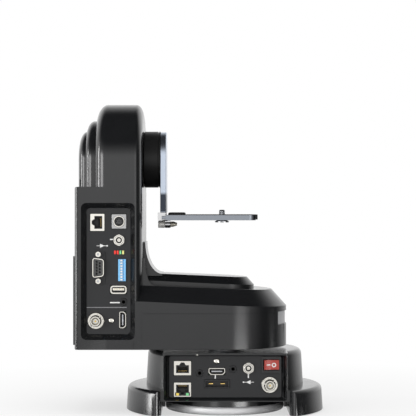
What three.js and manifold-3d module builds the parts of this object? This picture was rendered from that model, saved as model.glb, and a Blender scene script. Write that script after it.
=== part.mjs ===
// A remote pan and tilt head for film cameras: a round stepped base, a pan arm that turns on it,
// an upright tower at the arm's end, and a tilting L-shaped camera bracket on the tower's inner side.
// Millimetres, +Z up. The origin is on the pan axis, at the underside of the mounting disc.
// +X points from the tower to the arm's round end, and the sockets face -Y.
import * as THREE from "three";
import { mergeVertices } from "three/addons/utils/BufferGeometryUtils.js";
import Module from "manifold-3d";

const wasm = await Module();
wasm.setup();

// Clearances and common sizes
const gap = 0.3; // between a piece and the hole or seat that it fits
const overrun = 1; // how far a cutting solid runs past the face that it cuts
const seat = 0.1; // how far a lip is sunk into the body that carries it
const roundSteps = 20; // sides of a middling round piece
const smallSteps = 12; // sides of a small round piece
const pinSteps = 8; // sides of a contact pin
const hexSides = 6;
const filletSteps = 2; // steps of the base's and the disc's rounded edges
const mergeShare = 1e-3; // points closer than this are one point

// Sockets. Each is drawn in its panel's plane: x to the right, y up and z out of the panel.
const network = {
  width: 16,
  height: 13.1,
  cavityWidth: 12.4,
  cavityHeight: 7.4,
  keyWidth: 6.4,
  keyHeight: 2.6,
  cavityDepth: 9,
  rim: 0.5,
};
const hdmi = {
  width: 15.3,
  height: 6.3,
  cut: 2,
  wall: 0.7,
  depth: 8,
  rim: 0.8,
  tongueWidth: 9,
  tongueHeight: 1.6,
};
const jack = { radius: 3.4, boreRadius: 1.8, boreDepth: 9, rim: 0.4 };
const power = {
  nutRadius: 5.6,
  nutHeight: 2,
  radius: 4.2,
  boreRadius: 2.9,
  boreDepth: 8,
  rim: 3,
  pinRadius: 0.9,
};
const bncSteps = 14;
const bnc = {
  flangeRadius: 7.8,
  flangeHeight: 1.4,
  radius: 4.8,
  boreRadius: 3.6,
  boreDepth: 8,
  rim: 9,
  lugRadius: 1,
  lugLength: 1.1,
  lugInset: 2.5,
  pinRadius: 0.7,
};
const terminal = { width: 23, height: 7.4, wall: 1, depth: 6, rim: 1.2, pinRadius: 0.9, pinPitch: 11 };
const din = { side: 13.4, rim: 1, radius: 5.1, boreDepth: 6, coreRadius: 3.9 };
const serial = {
  width: 10.5,
  height: 18.5,
  taper: 1.2,
  corner: 2,
  wall: 0.7,
  moat: 1,
  rim: 5,
  flangeWidth: 12.6,
  flangeHeight: 31,
  flangeThickness: 0.8,
  postRadius: 2.6,
  postHeight: 4.6,
  postPitch: 12.5,
};
const usb = {
  width: 15,
  height: 7.5,
  corner: 2.4,
  cavityWidth: 12.5,
  cavityHeight: 5.1,
  depth: 9,
  rim: 0.6,
  tongueWidth: 11,
  tongueHeight: 1.9,
};
const lamp = { width: 1.5, height: 3, pitch: 2.54, rim: 0.5, barMargin: 0.8, barThickness: 2 };
const lampCount = 4;
const dip = { width: 7, rim: 1.4, pitch: 2.54, slotWidth: 1.5, slotLength: 3.6, slotDepth: 1.3 };
const dipLevers = 8;
const lever = { length: 1.9, width: 0.9, rise: 0.5 };
const rocker = {
  width: 13.9,
  height: 9.8,
  bezelWidth: 18.2,
  bezelHeight: 15.4,
  rim: 1.6,
  pivotDepth: 1,
  sink: 5,
  endRise: 1.7,
  middleRise: 0.7,
  sideGap: 0.7,
  pinRadius: 1.1,
  pinLength: 1,
};
rocker.halfThrow = THREE.MathUtils.degToRad(8);

// The base's socket panel. Its row of sockets runs from left to right, each after a bare space.
const baseRow = {
  leftMargin: 4.7,
  beforeAudioLeft: 4.5,
  beforeHdmi: 4.95,
  beforeAudioRight: 3.95,
  beforePower: 5.4,
  beforeRocker: 6.5,
  rightMargin: 0.7,
};
const baseRise = { bottomMargin: 1.05, betweenRows: 6.9, topMargin: 4.95 };
// How far a socket's middle lies above its row of network sockets, or to the right of its neighbour's
const baseShift = {
  audioLeft: -4.7,
  hdmi: -3.1,
  audioRight: -0.9,
  rocker: 3.1,
  terminal: 5.4,
  bnc: 4.5,
  bncX: -1.4,
};
const basePanel = { thickness: 2, boardDepth: 11, boardThickness: 1.6, boardInset: 2.5, rise: 3 };
basePanel.halfWidth =
  (baseRow.leftMargin +
    network.width +
    baseRow.beforeAudioLeft +
    2 * jack.radius +
    baseRow.beforeHdmi +
    hdmi.width +
    baseRow.beforeAudioRight +
    2 * jack.radius +
    baseRow.beforePower +
    2 * power.nutRadius +
    baseRow.beforeRocker +
    rocker.bezelWidth +
    baseRow.rightMargin) /
  2;

// Mounting disc
const disc = { radius: 57, height: 8, rim: 3, boltCircle: 35, boltRadius: 3.4, boltDepth: 6 };
const discBolts = 4;

// Base housing
const baseSteps = 36;
const base = {
  lowerRadius: 94.5,
  lowerHeight: 16,
  lowerFillet: 4,
  draft: 1.5,
  step: 17.5,
  upperDraft: 2,
  upperFillet: 4.5,
  topMargin: 2.9,
  wall: 2.5,
  floor: 3,
  footGap: 1,
  neckRadius: 24,
};
// The flat-faced bay that frames the socket panel. It ends above the disc, whose rear rim shows under it.
const baseBay = { inset: 33.5, rise: 5.5, cheek: 5.5, depth: 6, margin: 2, tierGap: 1.5 };
base.floorHeight = disc.height;
baseBay.bottom = base.floorHeight + baseBay.rise;
base.lowerTop = base.floorHeight + base.lowerHeight;
base.lowerTopRadius = base.lowerRadius - base.draft;
base.upperRadius = base.lowerTopRadius - base.step;
base.upperTopRadius = base.upperRadius - base.upperDraft;
basePanel.bottom = baseBay.bottom + basePanel.rise;
const lowerRow = basePanel.bottom + baseRise.bottomMargin + network.height / 2;
const upperRow = lowerRow + baseRise.betweenRows + network.height;
basePanel.top = upperRow + network.height / 2 + baseRise.topMargin;
base.top = basePanel.top + base.topMargin;
baseBay.halfWidth = basePanel.halfWidth + baseBay.cheek;
baseBay.face = base.lowerRadius - baseBay.inset;
basePanel.face = baseBay.face - baseBay.depth;

// Where each of the base's sockets has its middle, as x and height in the part's frame
const networkX = baseRow.leftMargin + network.width / 2 - basePanel.halfWidth;
const audioLeftX = networkX + network.width / 2 + baseRow.beforeAudioLeft + jack.radius;
const hdmiX = audioLeftX + jack.radius + baseRow.beforeHdmi + hdmi.width / 2;
const audioRightX = hdmiX + hdmi.width / 2 + baseRow.beforeAudioRight + jack.radius;
const powerX = audioRightX + jack.radius + baseRow.beforePower + power.nutRadius;
const rockerX = powerX + power.nutRadius + baseRow.beforeRocker + rocker.bezelWidth / 2;
const basePlaces = {
  networkUpper: { x: networkX, z: upperRow },
  networkLower: { x: networkX, z: lowerRow },
  audioLeft: { x: audioLeftX, z: upperRow + baseShift.audioLeft },
  hdmi: { x: hdmiX, z: upperRow + baseShift.hdmi },
  terminal: { x: hdmiX, z: lowerRow + baseShift.terminal },
  audioRight: { x: audioRightX, z: upperRow + baseShift.audioRight },
  power: { x: powerX, z: upperRow },
  rocker: { x: rockerX, z: upperRow + baseShift.rocker },
  bnc: { x: rockerX + baseShift.bncX, z: lowerRow + baseShift.bnc },
};

// Pan bearing, spindle and gears
const runningGap = 2.9;
const gearModule = 1.5;
const pressureAngle = THREE.MathUtils.degToRad(25);
const backlash = 0.3;
const dedendumShare = 1.25; // depth of a tooth below the pitch circle, in modules
const panDrive = { wheelTeeth: 48, pinionTeeth: 12, face: 7, shaftRadius: 3, motorGap: 2.5 };
const panMotor = { radius: 17, height: 29, boss: 1.5 };
const spindle = {
  flangeRadius: 30,
  flangeHeight: 4,
  shoulderRadius: 15,
  radius: 12,
  neckRadius: 10,
  boreRadius: 7,
  headHeight: 3,
};
const panBearing = { outerRadius: 20, height: 11, wall: 3.5 };

// Pan arm
const arm = {
  halfWidth: 59.3,
  wall: 2.5,
  ridgeRise: 41.1,
  coverLip: 7.5,
  chamfer: 14.8,
  bandHalfWidth: 28.2,
  bandHeight: 10.5,
  bandChamfer: 7,
};
arm.bottom = base.top + runningGap;
arm.ridge = arm.bottom + arm.ridgeRise;
arm.seam = arm.ridge - arm.coverLip;
const armSlopeShare = 0.0487; // fall of the arm's upper faces towards its round end, per unit of length
const armEndSteps = 20;
const tally = { height: 12.4, recess: 1.2, depth: 4 };
tally.bottom = arm.seam - tally.height;
tally.halfAngle = THREE.MathUtils.degToRad(32);
const tallySteps = 12;

// Tilt drive, from the tower's inner face outwards
const tower = {
  innerFace: -77.6,
  wall: 2.5,
  tiltRise: 178.3,
  crownHeight: 52.7,
  edgeAxial: 7,
  edgeRadial: 14,
  seamGap: 5.6,
  endGap: 3.9,
  outerEdgeAxial: 10,
};
tower.halfDepth = arm.halfWidth;
tower.tiltHeight = arm.bottom + tower.tiltRise;
const tiltDrive = { wheelTeeth: 36, pinionTeeth: 12, face: 7, shaftRadius: 2.6 };
const tiltShaft = { radius: 8, collarRadius: 11, collarWidth: 1.5, boreRadius: 4 };
const tiltBearing = { outerRadius: 16, width: 8, wall: 3.5 };
const tiltMotor = { radius: 17, length: 29, boss: 1.5 };
const drivePlate = { thickness: 3, drop: 89.7, boardGap: 5, gearGap: 4 };
const wheelRight = tower.innerFace - tower.wall - tiltBearing.width - tiltShaft.collarWidth - gap;
const wheelLeft = wheelRight - tiltDrive.face;
const drivePlateRight = wheelLeft - drivePlate.gearGap;
const drivePlateLeft = drivePlateRight - drivePlate.thickness;
const motorBack = drivePlateLeft - tiltMotor.length;

// Tower shells
const crownSteps = 18;
const edgeSteps = 3;
const largeDome = { thickness: 9.8, inset: 15.6, edgeAxial: 7 };
const smallDome = { thickness: 7.5, inset: 25.8, edgeAxial: 7, edgeRadial: 14 };
const box = { thickness: 3.1, topMargin: 15, edgeAxial: 8, edgeRadial: 14, topRadial: 3 };
tower.seam = drivePlateLeft - tower.seamGap;
smallDome.face = motorBack - tower.endGap - tower.wall;
largeDome.face = smallDome.face + smallDome.thickness;
tower.outerFace = largeDome.face + largeDome.thickness;
box.outerFace = smallDome.face - box.thickness;
const hatch = { bottomRise: 3, topRise: 86.6, thickness: 1.2 };
hatch.bottom = arm.bottom + hatch.bottomRise;
hatch.top = arm.bottom + hatch.topRise;

// Fairing in the corner between the arm and the tower
const fairing = {
  wideInset: 1.9,
  wideHeight: 26,
  wideReach: 9.5,
  narrowHeight: 30,
  narrowReach: 16,
  lip: 2,
  sink: 1,
};
const fairingSteps = 8;

// The tower's socket panel. Its sockets stand in two columns, and the right one is laid out downwards.
const towerColumn = { leftMargin: 3.8, between: 6.9, rightMargin: 4.1 };
const towerDown = {
  topMargin: 6,
  beforePower: 5.1,
  beforeLamps: 4.3,
  beforeDip: 4.84,
  beforeUsb: 4.39,
  beforeAudio: 4.15,
  beforeHdmi: 5.65,
  bottomMargin: 6.05,
};
// How far a socket's middle lies from its column's or its row's
const towerShift = {
  networkZ: -0.9,
  serialX: 1,
  serialZ: 2.3,
  bncX: -1.4,
  bncZ: -0.9,
  dipX: 2.8,
  usbX: -0.5,
  audioX: 4.2,
  hdmiX: 3.4,
};
const towerPanel = {
  thickness: 2,
  boardDepth: 11,
  boardThickness: 1.6,
  boardInset: 2.5,
  outset: 13,
  rise: 13.8,
};
const towerBay = { cheek: 4.6, depth: 5.3, corner: 5, margin: 2.2 };
towerPanel.face = tower.halfDepth - towerBay.depth;
towerPanel.left = box.outerFace + towerPanel.outset;
const leftColumn = towerPanel.left + towerColumn.leftMargin + network.height / 2;
const rightColumn = leftColumn + network.height / 2 + towerColumn.between + din.side / 2;
towerPanel.right = rightColumn + din.side / 2 + towerColumn.rightMargin;
towerPanel.bottom = arm.bottom + towerPanel.rise;
const dipHalfHeight = (dipLevers * dip.pitch) / 2;
const hdmiRow = towerPanel.bottom + towerDown.bottomMargin + hdmi.width / 2;
const audioRow = hdmiRow + hdmi.width / 2 + towerDown.beforeHdmi + jack.radius;
const usbRow = audioRow + jack.radius + towerDown.beforeAudio + usb.height / 2;
const dipRow = usbRow + usb.height / 2 + towerDown.beforeUsb + dipHalfHeight;
const lampRow = dipRow + dipHalfHeight + towerDown.beforeDip + lamp.height / 2;
const powerRow = lampRow + lamp.height / 2 + towerDown.beforeLamps + power.nutRadius;
const dinRow = powerRow + power.nutRadius + towerDown.beforePower + din.side / 2;
towerPanel.top = dinRow + din.side / 2 + towerDown.topMargin;
towerBay.left = towerPanel.left - towerBay.cheek;
towerBay.right = towerPanel.right + towerBay.cheek;
towerBay.bottom = towerPanel.bottom - towerBay.cheek;
towerBay.top = towerPanel.top + towerBay.cheek;
box.top = towerBay.top + box.topMargin;
const towerPlaces = {
  network: { x: leftColumn, z: dinRow + towerShift.networkZ },
  din: { x: rightColumn, z: dinRow },
  power: { x: rightColumn, z: powerRow },
  lamps: { x: rightColumn, z: lampRow },
  serial: { x: leftColumn + towerShift.serialX, z: dipRow + towerShift.serialZ },
  dip: { x: rightColumn + towerShift.dipX, z: dipRow },
  usb: { x: rightColumn + towerShift.usbX, z: usbRow },
  audio: { x: rightColumn + towerShift.audioX, z: audioRow },
  bnc: { x: leftColumn + towerShift.bncX, z: hdmiRow + towerShift.bncZ },
  hdmi: { x: rightColumn + towerShift.hdmiX, z: hdmiRow },
};

// Tilting head. Heights are measured from the tilt axis.
const drumSteps = 32;
const drum = { radius: 27, width: 16.1, grooveWidth: 1, grooveDepth: 0.8, grooveInset: 1.5 };
const upright = { thickness: 5.4, halfWidth: 25, rise: 26.3, drop: 51, corner: 22, cornerSteps: 6 };
const block = { overhang: 2.3, height: 7.6, halfWidth: 25, lipHeight: 1.5 };
const plate = { length: 85.3, thickness: 4.9, halfWidth: 36, tongue: 3.6, tongueThickness: 2.4 };
const slot = { startInset: 28.1, endInset: 5.2, halfWidth: 3.3, endSteps: 4 };
const pad = {
  thickness: 0.5,
  lip: 1.8,
  lipDrop: 4.2,
  crownInset: 2.1,
  crownLength: 16,
  crownRise: 2,
  crownSteps: 8,
  crownHalfWidth: 24,
};
const cameraScrew = { fromSlot: 25.4, headRadius: 6.8, headHeight: 1.5, shankRadius: 3, threadRise: 5 };
const cameraWasher = { radius: 5.6, thickness: 0.8 };
const clamp = {
  headRadius: 3.4,
  headLength: 6.5,
  bossLength: 4.7,
  shankRadius: 1.8,
  tipRadius: 2.5,
  tipLength: 5.8,
  spacing: 13,
  drop: 3.75,
};
const uprightLeft = tower.innerFace + drum.width;
const uprightRight = uprightLeft + upright.thickness;
block.left = uprightLeft - block.overhang;
block.right = uprightRight - gap;
block.bottom = -upright.drop - block.height;
plate.left = uprightRight;
plate.right = plate.left + plate.length;
plate.bottom = block.bottom + gap;
plate.top = plate.bottom + plate.thickness;
slot.right = plate.right - slot.endInset;
slot.left = plate.left + slot.startInset;
cameraScrew.x = slot.left + cameraScrew.fromSlot;

// Colours and finishes
const finishes = {
  body: { color: 0x2b2c2f, roughness: 0.42, metalness: 0.1 },
  panel: { color: 0x303137, roughness: 0.6, metalness: 0.05 },
  black: { color: 0x141414, roughness: 0.5, metalness: 0 },
  silver: { color: 0xd9dade, roughness: 0.3, metalness: 0.9 },
  alloy: { color: 0xa9b1bd, roughness: 0.35, metalness: 0.9 },
  nickel: { color: 0xd6cfc0, roughness: 0.28, metalness: 0.9 },
  steel: { color: 0x8d9096, roughness: 0.4, metalness: 0.9 },
  brass: { color: 0xb08d4c, roughness: 0.35, metalness: 0.9 },
  red: { color: 0xaa3c32, roughness: 0.4, metalness: 0 },
  blue: { color: 0x5aaae6, roughness: 0.45, metalness: 0 },
  white: { color: 0xf0f0ee, roughness: 0.5, metalness: 0 },
  window: { color: 0xb9bcc0, roughness: 0.2, metalness: 0 },
  green: { color: 0x2f6b3f, roughness: 0.6, metalness: 0 },
};

// From a closed geometry to a manifold solid, turned so that its faces point outwards
function solidOf(geometry) {
  const bare = geometry.clone();
  bare.deleteAttribute("normal");
  bare.deleteAttribute("uv");
  const merged = mergeVertices(bare, mergeShare);
  const triVerts = new Uint32Array(merged.index.array);
  const vertProperties = merged.attributes.position.array;
  const made = new wasm.Manifold(new wasm.Mesh({ numProp: 3, vertProperties, triVerts }));
  if (made.volume() > 0) return made;
  return new wasm.Manifold(new wasm.Mesh({ numProp: 3, vertProperties, triVerts: triVerts.reverse() }));
}

// From a manifold solid back to a geometry
function geometryOf(solid) {
  const mesh = solid.getMesh();
  const geometry = new THREE.BufferGeometry();
  geometry.setAttribute("position", new THREE.BufferAttribute(mesh.vertProperties, 3));
  geometry.setIndex(new THREE.BufferAttribute(mesh.triVerts, 1));
  geometry.computeVertexNormals();
  return geometry;
}

// A named mesh of a solid, added to a group
function addPiece(group, name, solid, finish) {
  const mesh = new THREE.Mesh(geometryOf(solid), new THREE.MeshStandardMaterial(finishes[finish]));
  mesh.name = name;
  group.add(mesh);
  return mesh;
}

function join(solids) {
  return solids.reduce((whole, next) => whole.add(next));
}

function cut(solid, tools) {
  return tools.reduce((rest, tool) => rest.subtract(tool), solid);
}

// A box between two corners
function boxBetween(x0, x1, y0, y1, z0, z1) {
  const geometry = new THREE.BoxGeometry(x1 - x0, y1 - y0, z1 - z0);
  geometry.translate((x0 + x1) / 2, (y0 + y1) / 2, (z0 + z1) / 2);
  return solidOf(geometry);
}

// A cylinder along Z between two heights
function postZ(radius, z0, z1, x = 0, y = 0, steps = smallSteps) {
  const geometry = new THREE.CylinderGeometry(radius, radius, z1 - z0, steps);
  geometry.rotateX(Math.PI / 2);
  geometry.translate(x, y, (z0 + z1) / 2);
  return solidOf(geometry);
}

// A cylinder along X between two places
function postX(radius, x0, x1, y = 0, z = 0, steps = smallSteps) {
  const geometry = new THREE.CylinderGeometry(radius, radius, x1 - x0, steps);
  geometry.rotateZ(Math.PI / 2);
  geometry.translate((x0 + x1) / 2, y, z);
  return solidOf(geometry);
}

// A solid of revolution about Z. The profile is a closed loop of [radius, height] points.
function revolve(profile, steps) {
  const points = profile.map(([r, z]) => new THREE.Vector2(r, z));
  const closed = points[0].x === 0 ? points : [...points, points[0].clone()];
  const geometry = new THREE.LatheGeometry(closed, steps);
  geometry.rotateX(Math.PI / 2);
  return solidOf(geometry);
}

// An outline extruded along Z from z0 to z1
function prismZ(outline, z0, z1) {
  const geometry = new THREE.ExtrudeGeometry(
    new THREE.Shape(outline),
    { depth: z1 - z0, bevelEnabled: false },
  );
  geometry.translate(0, 0, z0);
  return solidOf(geometry);
}

// The same with holes right through
function extrudeZ(outline, z0, z1, holes = []) {
  return cut(
    prismZ(outline, z0, z1),
    holes.map((hole) => prismZ(hole, z0 - overrun, z1 + overrun)),
  );
}

// Turns a solid drawn along Z so that its x, y and z lie along Y, Z and X
function layAlongX(solid) {
  return solid.rotate([90, 0, 90]);
}

// An outline of (y, z) points extruded along X from x0 to x1
function extrudeX(outline, x0, x1, holes = []) {
  return layAlongX(extrudeZ(outline, x0, x1, holes));
}

// An outline of (x, z) points extruded along Y from y0 to y1
function extrudeY(outline, y0, y1) {
  const shape = new THREE.Shape(outline);
  const geometry = new THREE.ExtrudeGeometry(shape, { depth: y1 - y0, bevelEnabled: false });
  geometry.rotateX(Math.PI / 2);
  geometry.translate(0, y1, 0);
  return solidOf(geometry);
}

// A closed skin through convex rings that have as many points each
function loft(rings) {
  const count = rings[0].length;
  const vertices = rings.flat().flatMap((point) => [point.x, point.y, point.z]);
  const triangles = [];
  for (let r = 0; r + 1 < rings.length; r++) {
    for (let i = 0; i < count; i++) {
      const a = r * count + i;
      const b = r * count + ((i + 1) % count);
      triangles.push(a, b, b + count, a, b + count, a + count);
    }
  }
  const last = (rings.length - 1) * count;
  for (let i = 1; i + 1 < count; i++) {
    triangles.push(0, i + 1, i, last, last + i, last + i + 1);
  }
  const geometry = new THREE.BufferGeometry();
  geometry.setAttribute("position", new THREE.Float32BufferAttribute(vertices, 3));
  geometry.setIndex(triangles);
  return solidOf(geometry);
}

// Points of a circle, or of a regular polygon
function circle(radius, steps = smallSteps, x = 0, y = 0, turn = 0) {
  return Array.from({ length: steps }, (_, i) => {
    const angle = turn + (i * 2 * Math.PI) / steps;
    return new THREE.Vector2(x + radius * Math.cos(angle), y + radius * Math.sin(angle));
  });
}

function rectangle(halfWidth, halfHeight, x = 0, y = 0) {
  return [
    new THREE.Vector2(x - halfWidth, y - halfHeight),
    new THREE.Vector2(x + halfWidth, y - halfHeight),
    new THREE.Vector2(x + halfWidth, y + halfHeight),
    new THREE.Vector2(x - halfWidth, y + halfHeight),
  ];
}

// A rectangle whose corners are quarter circles
function roundedRectangle(x0, x1, y0, y1, corner, steps = 3) {
  const centres = [
    [x1 - corner, y0 + corner, -Math.PI / 2],
    [x1 - corner, y1 - corner, 0],
    [x0 + corner, y1 - corner, Math.PI / 2],
    [x0 + corner, y0 + corner, Math.PI],
  ];
  return centres.flatMap(([x, y, start]) =>
    Array.from({ length: steps + 1 }, (_, i) => {
      const angle = start + (i * Math.PI) / 2 / steps;
      return new THREE.Vector2(x + corner * Math.cos(angle), y + corner * Math.sin(angle));
    }),
  );
}

// Steps of a quarter ellipse, as [share along, share in], from the side of a wall to its face
function quarterShares(steps) {
  return Array.from({ length: steps + 1 }, (_, i) => {
    const angle = (i * Math.PI) / 2 / steps;
    return [Math.sin(angle), 1 - Math.cos(angle)];
  });
}

// Involute spur gear

function pitchRadius(teeth) {
  return (teeth * gearModule) / 2;
}

// Half of the angle that a tooth takes at a radius
function toothHalfAngle(teeth, radius) {
  const baseRadius = pitchRadius(teeth) * Math.cos(pressureAngle);
  const involute = (angle) => Math.tan(angle) - angle;
  const atRadius = Math.acos(Math.min(1, baseRadius / radius));
  const thinning = backlash / 2 / pitchRadius(teeth) / 2;
  return Math.PI / 2 / teeth - thinning + involute(pressureAngle) - involute(atRadius);
}

// The outline of a gear with one tooth centred on its +X side, turned by an angle
function gearOutline(teeth, turn) {
  const pitch = pitchRadius(teeth);
  const root = pitch - dedendumShare * gearModule;
  const tip = pitch + gearModule;
  const baseRadius = pitch * Math.cos(pressureAngle);
  const start = Math.max(root, baseRadius);
  const flank = [start, (start + tip) / 2, tip];
  const points = [];
  for (let t = 0; t < teeth; t++) {
    const middle = turn + (t * 2 * Math.PI) / teeth;
    const foot = toothHalfAngle(teeth, start);
    const places = [
      [root, -foot],
      ...flank.slice(root < start ? 0 : 1).map((r) => [r, -toothHalfAngle(teeth, r)]),
      ...flank
        .slice(root < start ? 0 : 1)
        .reverse()
        .map((r) => [r, toothHalfAngle(teeth, r)]),
      [root, foot],
    ];
    for (const [r, angle] of places) {
      points.push(new THREE.Vector2(r * Math.cos(middle + angle), r * Math.sin(middle + angle)));
    }
  }
  return points;
}

// Mounting disc

function mountingDisc() {
  const rimPoints = quarterShares(filletSteps);
  const lowerRim = rimPoints.map(([along, inward]) => [
    disc.radius - disc.rim * (1 - along),
    disc.rim * inward,
  ]);
  const upperRim = lowerRim.map(([r, z]) => [r, disc.height - z]).reverse();
  const solid = revolve([[0, 0], ...lowerRim, ...upperRim, [0, disc.height]], baseSteps);
  const holes = Array.from({ length: discBolts }, (_, i) => {
    const angle = Math.PI / discBolts + (i * 2 * Math.PI) / discBolts;
    const x = disc.boltCircle * Math.cos(angle);
    const y = disc.boltCircle * Math.sin(angle);
    return postZ(disc.boltRadius, -overrun, disc.boltDepth, x, y);
  });
  return cut(solid, holes);
}

// Base housing

// The two stepped tiers as a profile of revolution, drawn inwards by a wall
function tierProfile(inset, bottom) {
  const quarter = quarterShares(filletSteps);
  const round = (radius, top, fillet) =>
    quarter.map(([along, inward]) => [radius - fillet * inward, top - fillet * (1 - along)]);
  const lowerFillet = Math.max(base.lowerFillet - inset, gap);
  const upperFillet = Math.max(base.upperFillet - inset, gap);
  return [
    [0, bottom],
    [base.lowerRadius - inset, bottom],
    ...round(base.lowerTopRadius - inset, base.lowerTop - inset, lowerFillet),
    [base.upperRadius - inset, base.lowerTop - inset],
    ...round(base.upperTopRadius - inset, base.top - inset, upperFillet),
    [0, base.top - inset],
  ];
}

function bayBox(inset) {
  return boxBetween(
    inset - baseBay.halfWidth,
    baseBay.halfWidth - inset,
    inset - baseBay.face,
    -basePanel.face / 2 - inset,
    baseBay.bottom + inset,
    base.top - inset,
  );
}

// The open space under the bay, round a drum as wide as the mounting disc. Grown by a wall, it bounds
// the hollow inside.
function bayUndercut(growth) {
  const half = baseBay.halfWidth + baseBay.tierGap + growth;
  const top = baseBay.bottom + growth;
  const space = boxBetween(-half, half, -base.lowerRadius - overrun, growth, -overrun, top);
  const drum = postZ(disc.radius - growth, base.floorHeight, top + overrun, 0, 0, baseSteps);
  return space.subtract(drum);
}

// A recess with slanted cheeks between two rectangles in planes square to Y
function taperedRecess(outer, inner, face, depth) {
  const share = overrun / depth;
  const wide = outer.map((p, i) => p.clone().lerp(inner[i], -share));
  const ring = (points, y) => points.map((p) => new THREE.Vector3(p.x, y, p.y));
  return loft([ring(wide, -face - overrun), ring(inner, depth - face)]);
}

function basePanelOutline(clearance) {
  const half = basePanel.halfWidth - clearance;
  return roundedRectangle(
    -half,
    half,
    basePanel.bottom + clearance,
    basePanel.top - clearance,
    baseBay.margin,
  );
}

function baseHousing() {
  const tiers = revolve(tierProfile(0, base.footGap), baseSteps);
  const rearCut = boxBetween(
    -baseBay.halfWidth - baseBay.tierGap,
    baseBay.halfWidth + baseBay.tierGap,
    -base.lowerRadius - overrun,
    -baseBay.face,
    -overrun,
    base.top + overrun,
  );
  const outer = tiers.subtract(rearCut).add(bayBox(0));
  const hollowTiers = revolve(tierProfile(base.wall, base.floorHeight + base.floor), baseSteps);
  const hollowCut = boxBetween(
    -baseBay.halfWidth - baseBay.tierGap - base.wall,
    baseBay.halfWidth + baseBay.tierGap + base.wall,
    -base.lowerRadius,
    base.wall - baseBay.face,
    0,
    base.top,
  );
  const hollow = hollowTiers.subtract(hollowCut).subtract(bayUndercut(base.wall));
  const discPocket = postZ(disc.radius + gap, -overrun, base.floorHeight, 0, 0, baseSteps);
  const underside = postZ(base.lowerRadius - base.wall, -overrun, base.floorHeight, 0, 0, baseSteps);
  const rearKeep = boxBetween(
    -base.lowerRadius,
    base.lowerRadius,
    -base.lowerRadius,
    base.wall - baseBay.face,
    -overrun,
    base.top,
  );
  const sideHalf = baseBay.halfWidth + baseBay.tierGap + base.wall;
  const sideKeep = boxBetween(-sideHalf, sideHalf, -base.lowerRadius, base.wall, -overrun, base.top);
  const openUnderside = cut(underside, [rearKeep, sideKeep]);
  const shell = cut(outer, [hollow, bayBox(base.wall), discPocket, openUnderside, bayUndercut(0)]);
  const frame = boxBetween(
    -basePanel.halfWidth - baseBay.margin,
    basePanel.halfWidth + baseBay.margin,
    -baseBay.face,
    -basePanel.face + basePanel.thickness + gap,
    baseBay.bottom,
    base.top - base.wall,
  );
  const opening = basePanelOutline(0);
  const mouth = roundedRectangle(
    -baseBay.halfWidth + overrun,
    baseBay.halfWidth - overrun,
    basePanel.bottom - baseBay.margin,
    basePanel.top + baseBay.margin / 2,
    baseBay.margin,
  );
  const recess = taperedRecess(mouth, opening, baseBay.face, baseBay.depth);
  const doorway = extrudeY(opening, -basePanel.face - overrun, -basePanel.face / 2);
  const neck = postZ(base.neckRadius, base.top - base.wall - overrun, base.top + overrun, 0, 0, roundSteps);
  const foot = postZ(
    spindle.flangeRadius + gap,
    base.floorHeight - overrun,
    base.floorHeight + base.floor + overrun,
    0,
    0,
    roundSteps,
  );
  return cut(shell.add(frame), [recess, doorway, neck, foot]);
}

// Pan spindle, bearing and drive

const gearBottom = arm.bottom + arm.wall + panMotor.height + panDrive.motorGap;
const gearTop = gearBottom + panDrive.face;
const panCentreDistance = pitchRadius(panDrive.wheelTeeth) + pitchRadius(panDrive.pinionTeeth);

function panSpindle() {
  const foot = disc.height;
  const bearingSeat = arm.bottom + gap;
  return revolve(
    [
      [spindle.boreRadius, foot],
      [spindle.flangeRadius, foot],
      [spindle.flangeRadius, foot + spindle.flangeHeight],
      [spindle.shoulderRadius, foot + spindle.flangeHeight],
      [spindle.shoulderRadius, bearingSeat],
      [spindle.radius, bearingSeat],
      [spindle.radius, gearBottom],
      [spindle.neckRadius, gearBottom],
      [spindle.neckRadius, gearTop + spindle.headHeight],
      [spindle.boreRadius, gearTop + spindle.headHeight],
    ],
    roundSteps,
  );
}

function ringZ(innerRadius, outerRadius, z0, z1, steps = roundSteps) {
  return extrudeZ(circle(outerRadius, steps), z0, z1, [circle(innerRadius, steps)]);
}

function panWheel() {
  return extrudeZ(gearOutline(panDrive.wheelTeeth, 0), gearBottom, gearTop, [
    circle(spindle.neckRadius + gap, roundSteps),
  ]);
}

// The pinion stands on the -X side of the wheel, with a tooth space facing the wheel's tooth
function panPinion() {
  const teeth = panDrive.pinionTeeth;
  const facing = Math.PI / teeth;
  const toothed = extrudeZ(gearOutline(teeth, facing), gearBottom, gearTop);
  const shaftFoot = arm.bottom + arm.wall + panMotor.height + gap;
  return toothed.add(postZ(panDrive.shaftRadius, shaftFoot, gearBottom + overrun));
}

function motorZ(radius, height, boss) {
  return postZ(radius, 0, height - boss, 0, 0, roundSteps).add(
    postZ(radius / 2, height - boss - overrun, height, 0, 0, roundSteps),
  );
}

// Pan arm

// The arm's outline in plan at one height: straight sides that end at the tower, and a round end
function armRing(inset, left, halfWidth, heightAt) {
  const radius = halfWidth - inset;
  const points = [[left, radius]];
  for (let i = 0; i <= armEndSteps; i++) {
    const angle = Math.PI / 2 - (i * Math.PI) / armEndSteps;
    points.push([radius * Math.cos(angle), radius * Math.sin(angle)]);
  }
  points.push([left, -radius]);
  return points.map(([x, y]) => new THREE.Vector3(x, y, heightAt(x)));
}

const level = (height) => () => height;
const sloped = (height) => (x) => height - armSlopeShare * x;

function armWalls(inset, left, bottom, top) {
  return loft([
    armRing(inset, left, arm.halfWidth, level(bottom)),
    armRing(inset, left, arm.halfWidth, level(top)),
  ]);
}

function tallySector(inner, outer, bottom, top, halfAngle) {
  const arc = (radius, sign) =>
    Array.from({ length: tallySteps + 1 }, (_, i) => {
      const angle = sign * (2 * (i / tallySteps) - 1) * halfAngle;
      return new THREE.Vector2(radius * Math.cos(angle), radius * Math.sin(angle));
    });
  return extrudeZ([...arc(outer, 1), ...arc(inner, -1)], bottom, top);
}

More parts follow.
